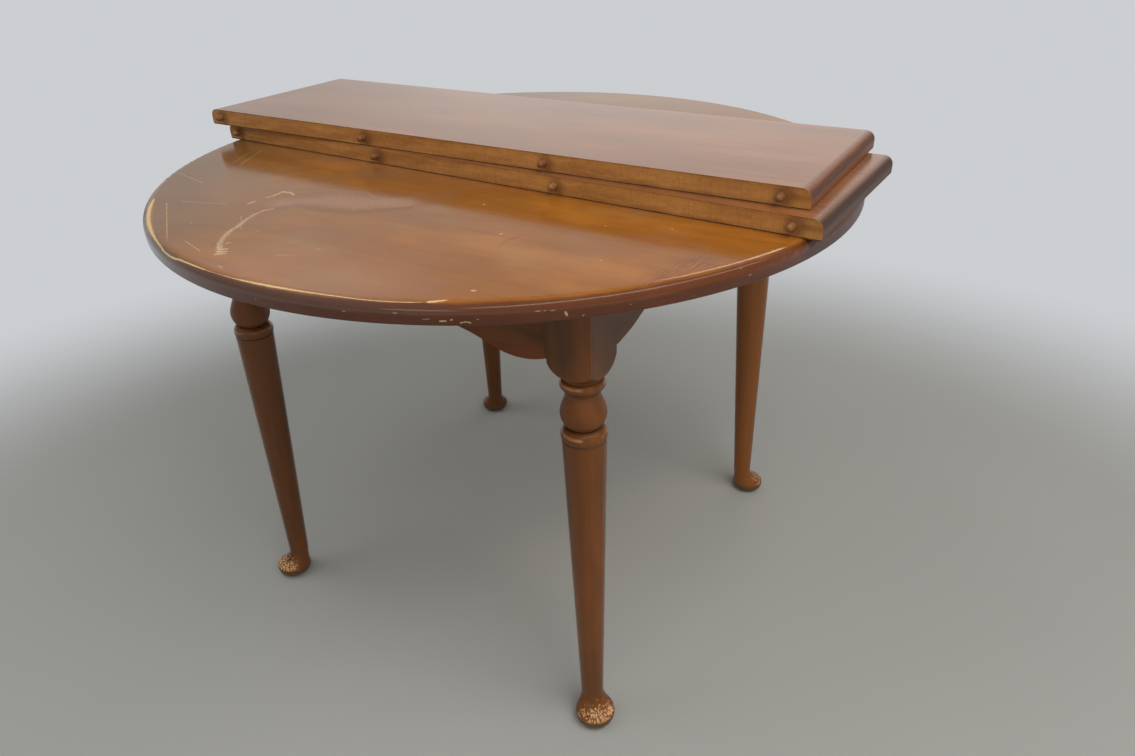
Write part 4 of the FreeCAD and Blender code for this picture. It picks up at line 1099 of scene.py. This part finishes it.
def build_ring():
    """Node group: a drilled ring on +Z from 0 to Thickness, with its corners turned off."""
    group, t, given, out = new_group("ring", "GeometryNodeTree", (
        ("Radius", "Float"), ("Thickness", "Float"), ("Sides", "Int"), ("Corner cut", "Float"),
        ("Bore radius", "Float"), ("Pitch", "Float"), ("Thread depth", "Float")),
        (("Geometry", "Geometry"),))
    middle = t.join(0.0, 0.0, t.times(given["Thickness"], 0.5))
    bar = t.add("GeometryNodeMeshCylinder", named={
        "Vertices": given["Sides"], "Radius": given["Radius"],
        "Depth": given["Thickness"]}).outputs["Mesh"]
    ball = t.add("GeometryNodeMeshUVSphere", named={
        "Segments": 40, "Rings": 24, "Radius": 1.0}).outputs["Mesh"]
    wide = t.times(given["Radius"], 1.004)
    scale = t.join(wide, wide, t.over(given["Thickness"], given["Corner cut"]))
    lens = t.add("GeometryNodeTransform", named={"Geometry": ball, "Scale": scale}).outputs[0]
    trimmed = t.add("GeometryNodeMeshBoolean", operation="INTERSECT")
    t.feed(trimmed.inputs["Mesh 2"], bar)
    t.feed(trimmed.inputs["Mesh 2"], lens)
    drill = t.add("GeometryNodeGroup", node_tree=turned, named={
        "Length": t.times(given["Thickness"], 3.0), "Head radius": given["Bore radius"],
        "Head height": SQUARE_END, "Shank radius": given["Bore radius"],
        "Tip length": SQUARE_END, "Tip power": 1.0,
        "Pitch": given["Pitch"], "Thread depth": given["Thread depth"], "Plain part": 0.0,
        "Bunching": 1.0, "Rows": 60, "Sides": 25}).outputs[0]
    down = t.join(0.0, 0.0, t.times(given["Thickness"], -1.5))
    drill = t.add("GeometryNodeTransform", named={"Geometry": drill, "Translation": down}).outputs[0]
    drilled = t.add("GeometryNodeMeshBoolean", operation="DIFFERENCE", named={
        "Mesh 1": trimmed.outputs["Mesh"], "Mesh 2": drill}).outputs["Mesh"]
    raised = t.add("GeometryNodeTransform", named={"Geometry": drilled, "Translation": middle})
    t.feed(out["Geometry"], raised.outputs[0])
    return group


slotted, ring = build_slotted(), build_ring()
print("slotted and ring groups")

# %% [markdown]
# ## Planting them
#
# Each fastener already has a solid in the frame, so nothing is placed by eye. A copy of the
# node's mesh is merged and split into its loose solids. The axis of a turned solid is the one
# direction in which it spreads differently from the other two, which the covariance of its
# points gives directly. A tree then copies the shape to each of these places, turned to point
# the way the solid points and spun by a seeded random angle, as a hand leaves them.


# %% Find the solids of a node
def measure(points):
    """Start, way in, length, head radius, shank radius, head height and bore of one turned solid."""
    centre = points.mean(axis=0)
    spread, axes = np.linalg.eigh(np.cov((points - centre).T))
    way = axes[:, np.argmax(abs(spread - spread[1]))]
    if way @ centre < 0:
        way = -way
    along = (points - centre) @ way
    radii = np.linalg.norm(points - centre - np.outer(along, way), axis=1)
    quarter = (along.max() - along.min()) / 8
    at_start = radii[along < along.min() + quarter].max()
    at_end = radii[along > along.max() - quarter].max()
    if at_end > 1.1 * at_start:
        way, along, at_end = -way, -along, at_start
    low, high = along.min(), along.max()
    shank = radii[along > high - 0.6 * (high - low)].max()
    head = along[radii > 1.2 * shank]
    return {"start": centre + way * low, "way": way, "length": high - low, "radius": radii.max(),
            "shank": shank, "head": head.max() - low if len(head) else 0.0, "bore": radii.min()}


SAME_PLACE = 1e-6


def solids_of(name):
    """The measures of each loose solid in a node, in the order of its points."""
    merged = bmesh.new()
    merged.from_mesh(nodes[name].data)
    bmesh.ops.remove_doubles(merged, verts=merged.verts, dist=SAME_PLACE)
    seen, found = set(), []
    for first in merged.verts:
        if first in seen:
            continue
        seen.add(first)
        island = [first]
        for vertex in island:
            for edge in vertex.link_edges:
                other = edge.other_vert(vertex)
                if other not in seen:
                    seen.add(other)
                    island.append(other)
        found.append(measure(np.array([tuple(vertex.co) for vertex in island])))
    merged.free()
    return found


# %% The planting tree
SHARP_BEND = math.radians(35)


def build_planting(shape):
    """A modifier tree that puts a shape group at every point, along the point's way."""
    sizes = inputs_of(shape)
    asked = [("Geometry", "Geometry"), *sizes, ("Seed", "Int"), ("Finish", "Material")]
    group, t, given, out = new_group(
        f"planted_{shape.name}", "GeometryNodeTree", asked, (("Geometry", "Geometry"),))
    one = t.add("GeometryNodeGroup", node_tree=shape, named={
        name: given[name] for name, _ in sizes}).outputs[0]
    way = t.add("GeometryNodeInputNamedAttribute", data_type="FLOAT_VECTOR", named={
        "Name": "way"}).outputs[0]
    aim = t.add("FunctionNodeAlignRotationToVector", axis="Z", named={"Vector": way}).outputs[0]
    chance = t.add("FunctionNodeRandomValue", data_type="FLOAT")
    t.feed(chance.inputs[2], 0.0)
    t.feed(chance.inputs[3], FULL_TURN)
    t.feed(chance.inputs["Seed"], given["Seed"])
    spin = t.add("FunctionNodeEulerToRotation", t.join(0.0, 0.0, chance.outputs[1])).outputs[0]
    turned_to = t.add("FunctionNodeRotateRotation", aim, spin, rotation_space="LOCAL").outputs[0]
    planted = t.add("GeometryNodeInstanceOnPoints", named={
        "Points": given["Geometry"], "Instance": one, "Rotation": turned_to}).outputs[0]
    real = t.add("GeometryNodeRealizeInstances", planted).outputs[0]
    smooth = t.add("GeometryNodeSetShadeSmooth", real, domain="FACE").outputs[0]
    bend = t.add("GeometryNodeInputMeshEdgeAngle").outputs["Unsigned Angle"]
    sharp = t.add("GeometryNodeSetShadeSmooth", domain="EDGE", named={
        "Geometry": smooth, "Selection": t.maths("GREATER_THAN", bend, SHARP_BEND),
        "Shade Smooth": False})
    done = t.add("GeometryNodeSetMaterial", named={
        "Geometry": sharp.outputs[0], "Material": given["Finish"]}).outputs[0]
    t.feed(out["Geometry"], done)
    return group


planting = {shape.name: build_planting(shape) for shape in (turned, slotted, ring)}


def plant(name, shape, seed, sizes):
    """Makes a node's fasteners again with a shape group, as one mesh that replaces the node."""
    places = solids_of(name)
    points = bpy.data.meshes.new(f"{name}_places")
    points.from_pydata([place["start"] for place in places], [], [])
    ways = points.attributes.new("way", "FLOAT_VECTOR", "POINT")
    ways.data.foreach_set("vector", np.array([place["way"] for place in places], np.float32).ravel())
    maker = bpy.data.objects.new(f"{name}_maker", points)
    bpy.context.scene.collection.objects.link(maker)
    tree = planting[shape]
    modifier = maker.modifiers.new("planting", "NODES")
    modifier.node_group = tree
    first = places[0]
    values = {"Length": first["length"], "Head radius": first["radius"],
              "Head height": first["head"], "Shank radius": first["shank"],
              "Radius": first["radius"], "Thickness": first["length"], "Bore radius": first["bore"],
              "Seed": seed, "Finish": finish_for(name), **sizes}
    for item in tree.interface.items_tree:
        if item.in_out == "INPUT" and item.name in values:
            modifier[item.identifier] = values[item.name]
    bpy.context.view_layer.update()
    shape_now = maker.evaluated_get(bpy.context.evaluated_depsgraph_get())
    mesh = bpy.data.meshes.new_from_object(shape_now)
    mesh.name = f"{name}_detail"
    mesh.materials.clear()
    mesh.materials.append(finish_for(name))
    bpy.data.objects.remove(maker)
    piece = bpy.data.objects.new(f"{name}_detail", mesh)
    bpy.context.scene.collection.objects.link(piece)
    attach(piece, body_of[name])
    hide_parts(name)
    return len(places), len(mesh.polygons)


# %% [markdown]
# Slotted round-head screws hold the corner blocks, rails, tie and catches. Their thread runs to a
# sharp tip, and a plain part is left under the head. A real hanger bolt has a wood thread in the
# leg and a machine thread at the nut. Only the nut's end can be seen, so one machine thread with
# blunt ends runs along the whole bolt here.

# %% Sizes for each kind
WOOD_PITCH = 1.9 * MM
SCREW_TURNS_PER_METRE = 1 / WOOD_PITCH
MACHINE_THREAD = {"Pitch": 1.6 * MM, "Thread depth": 0.6 * MM}
NO_THREAD = {"Pitch": 1 * MM, "Thread depth": 0.0}


def screw_sizes(name):
    """A wood screw's finer sizes, from the first of a node's own screws."""
    size = solids_of(name)[0]
    return {"Tip length": 6 * MM, "Tip power": 0.8, "Pitch": WOOD_PITCH,
            "Thread depth": 0.26 * size["shank"],
            "Plain part": size["head"] + 0.25 * size["length"], "Bunching": 1.0,
            "Rows": int(4 * size["length"] * SCREW_TURNS_PER_METRE) + 10, "Sides": 21,
            "Slot width": 0.30 * size["radius"], "Slot depth": 0.45 * size["head"]}


KINDS = {                                # name ending: shape group and its finer sizes
    "bolts": ("turned", {"Head height": 0.8 * MM, "Tip length": 1.2 * MM, "Tip power": 0.5,
                         **MACHINE_THREAD, "Plain part": 0.0, "Bunching": 1.0, "Rows": 500,
                         "Sides": 25}),
    "glides": ("turned", {"Tip length": 5 * MM, "Tip power": 1.0, **NO_THREAD, "Plain part": 1.0,
                          "Bunching": 1.0, "Rows": 26, "Sides": 49}),
    "_pins": ("turned", {"Head height": 1.2 * MM, "Tip length": 3.4 * MM, "Tip power": 0.42,
                         **NO_THREAD, "Plain part": 1.0, "Bunching": 2.4, "Rows": 44,
                         "Sides": 33}),
    "nuts": ("ring", {"Sides": 6, "Corner cut": 1.10, **MACHINE_THREAD}),
    "washers": ("ring", {"Sides": 40, "Corner cut": 0.45, **NO_THREAD}),
}

# %% Plant the fasteners
made = {}
for seed, name in enumerate(sorted(nodes)):
    if name.endswith("screws"):
        made[name] = plant(name, "slotted", seed, screw_sizes(name))
    for ending, (shape, sizes) in KINDS.items():
        if name.endswith(ending):
            made[name] = plant(name, shape, seed, sizes)
for name, (count, faces) in made.items():
    print(f"  {name}: {count} of them, {faces} faces")

# %% [markdown]
# ## The two boxes
#
# Nothing here may make the table bigger than its solids. The box of the solids and the box of
# everything shown are both printed, side by side.

# %% Print the boxes
look_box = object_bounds()
for label, box in (("solids", cad_box), ("look", look_box)):
    print(label, tuple(round(v, 4) for v in box[1] - box[0]))
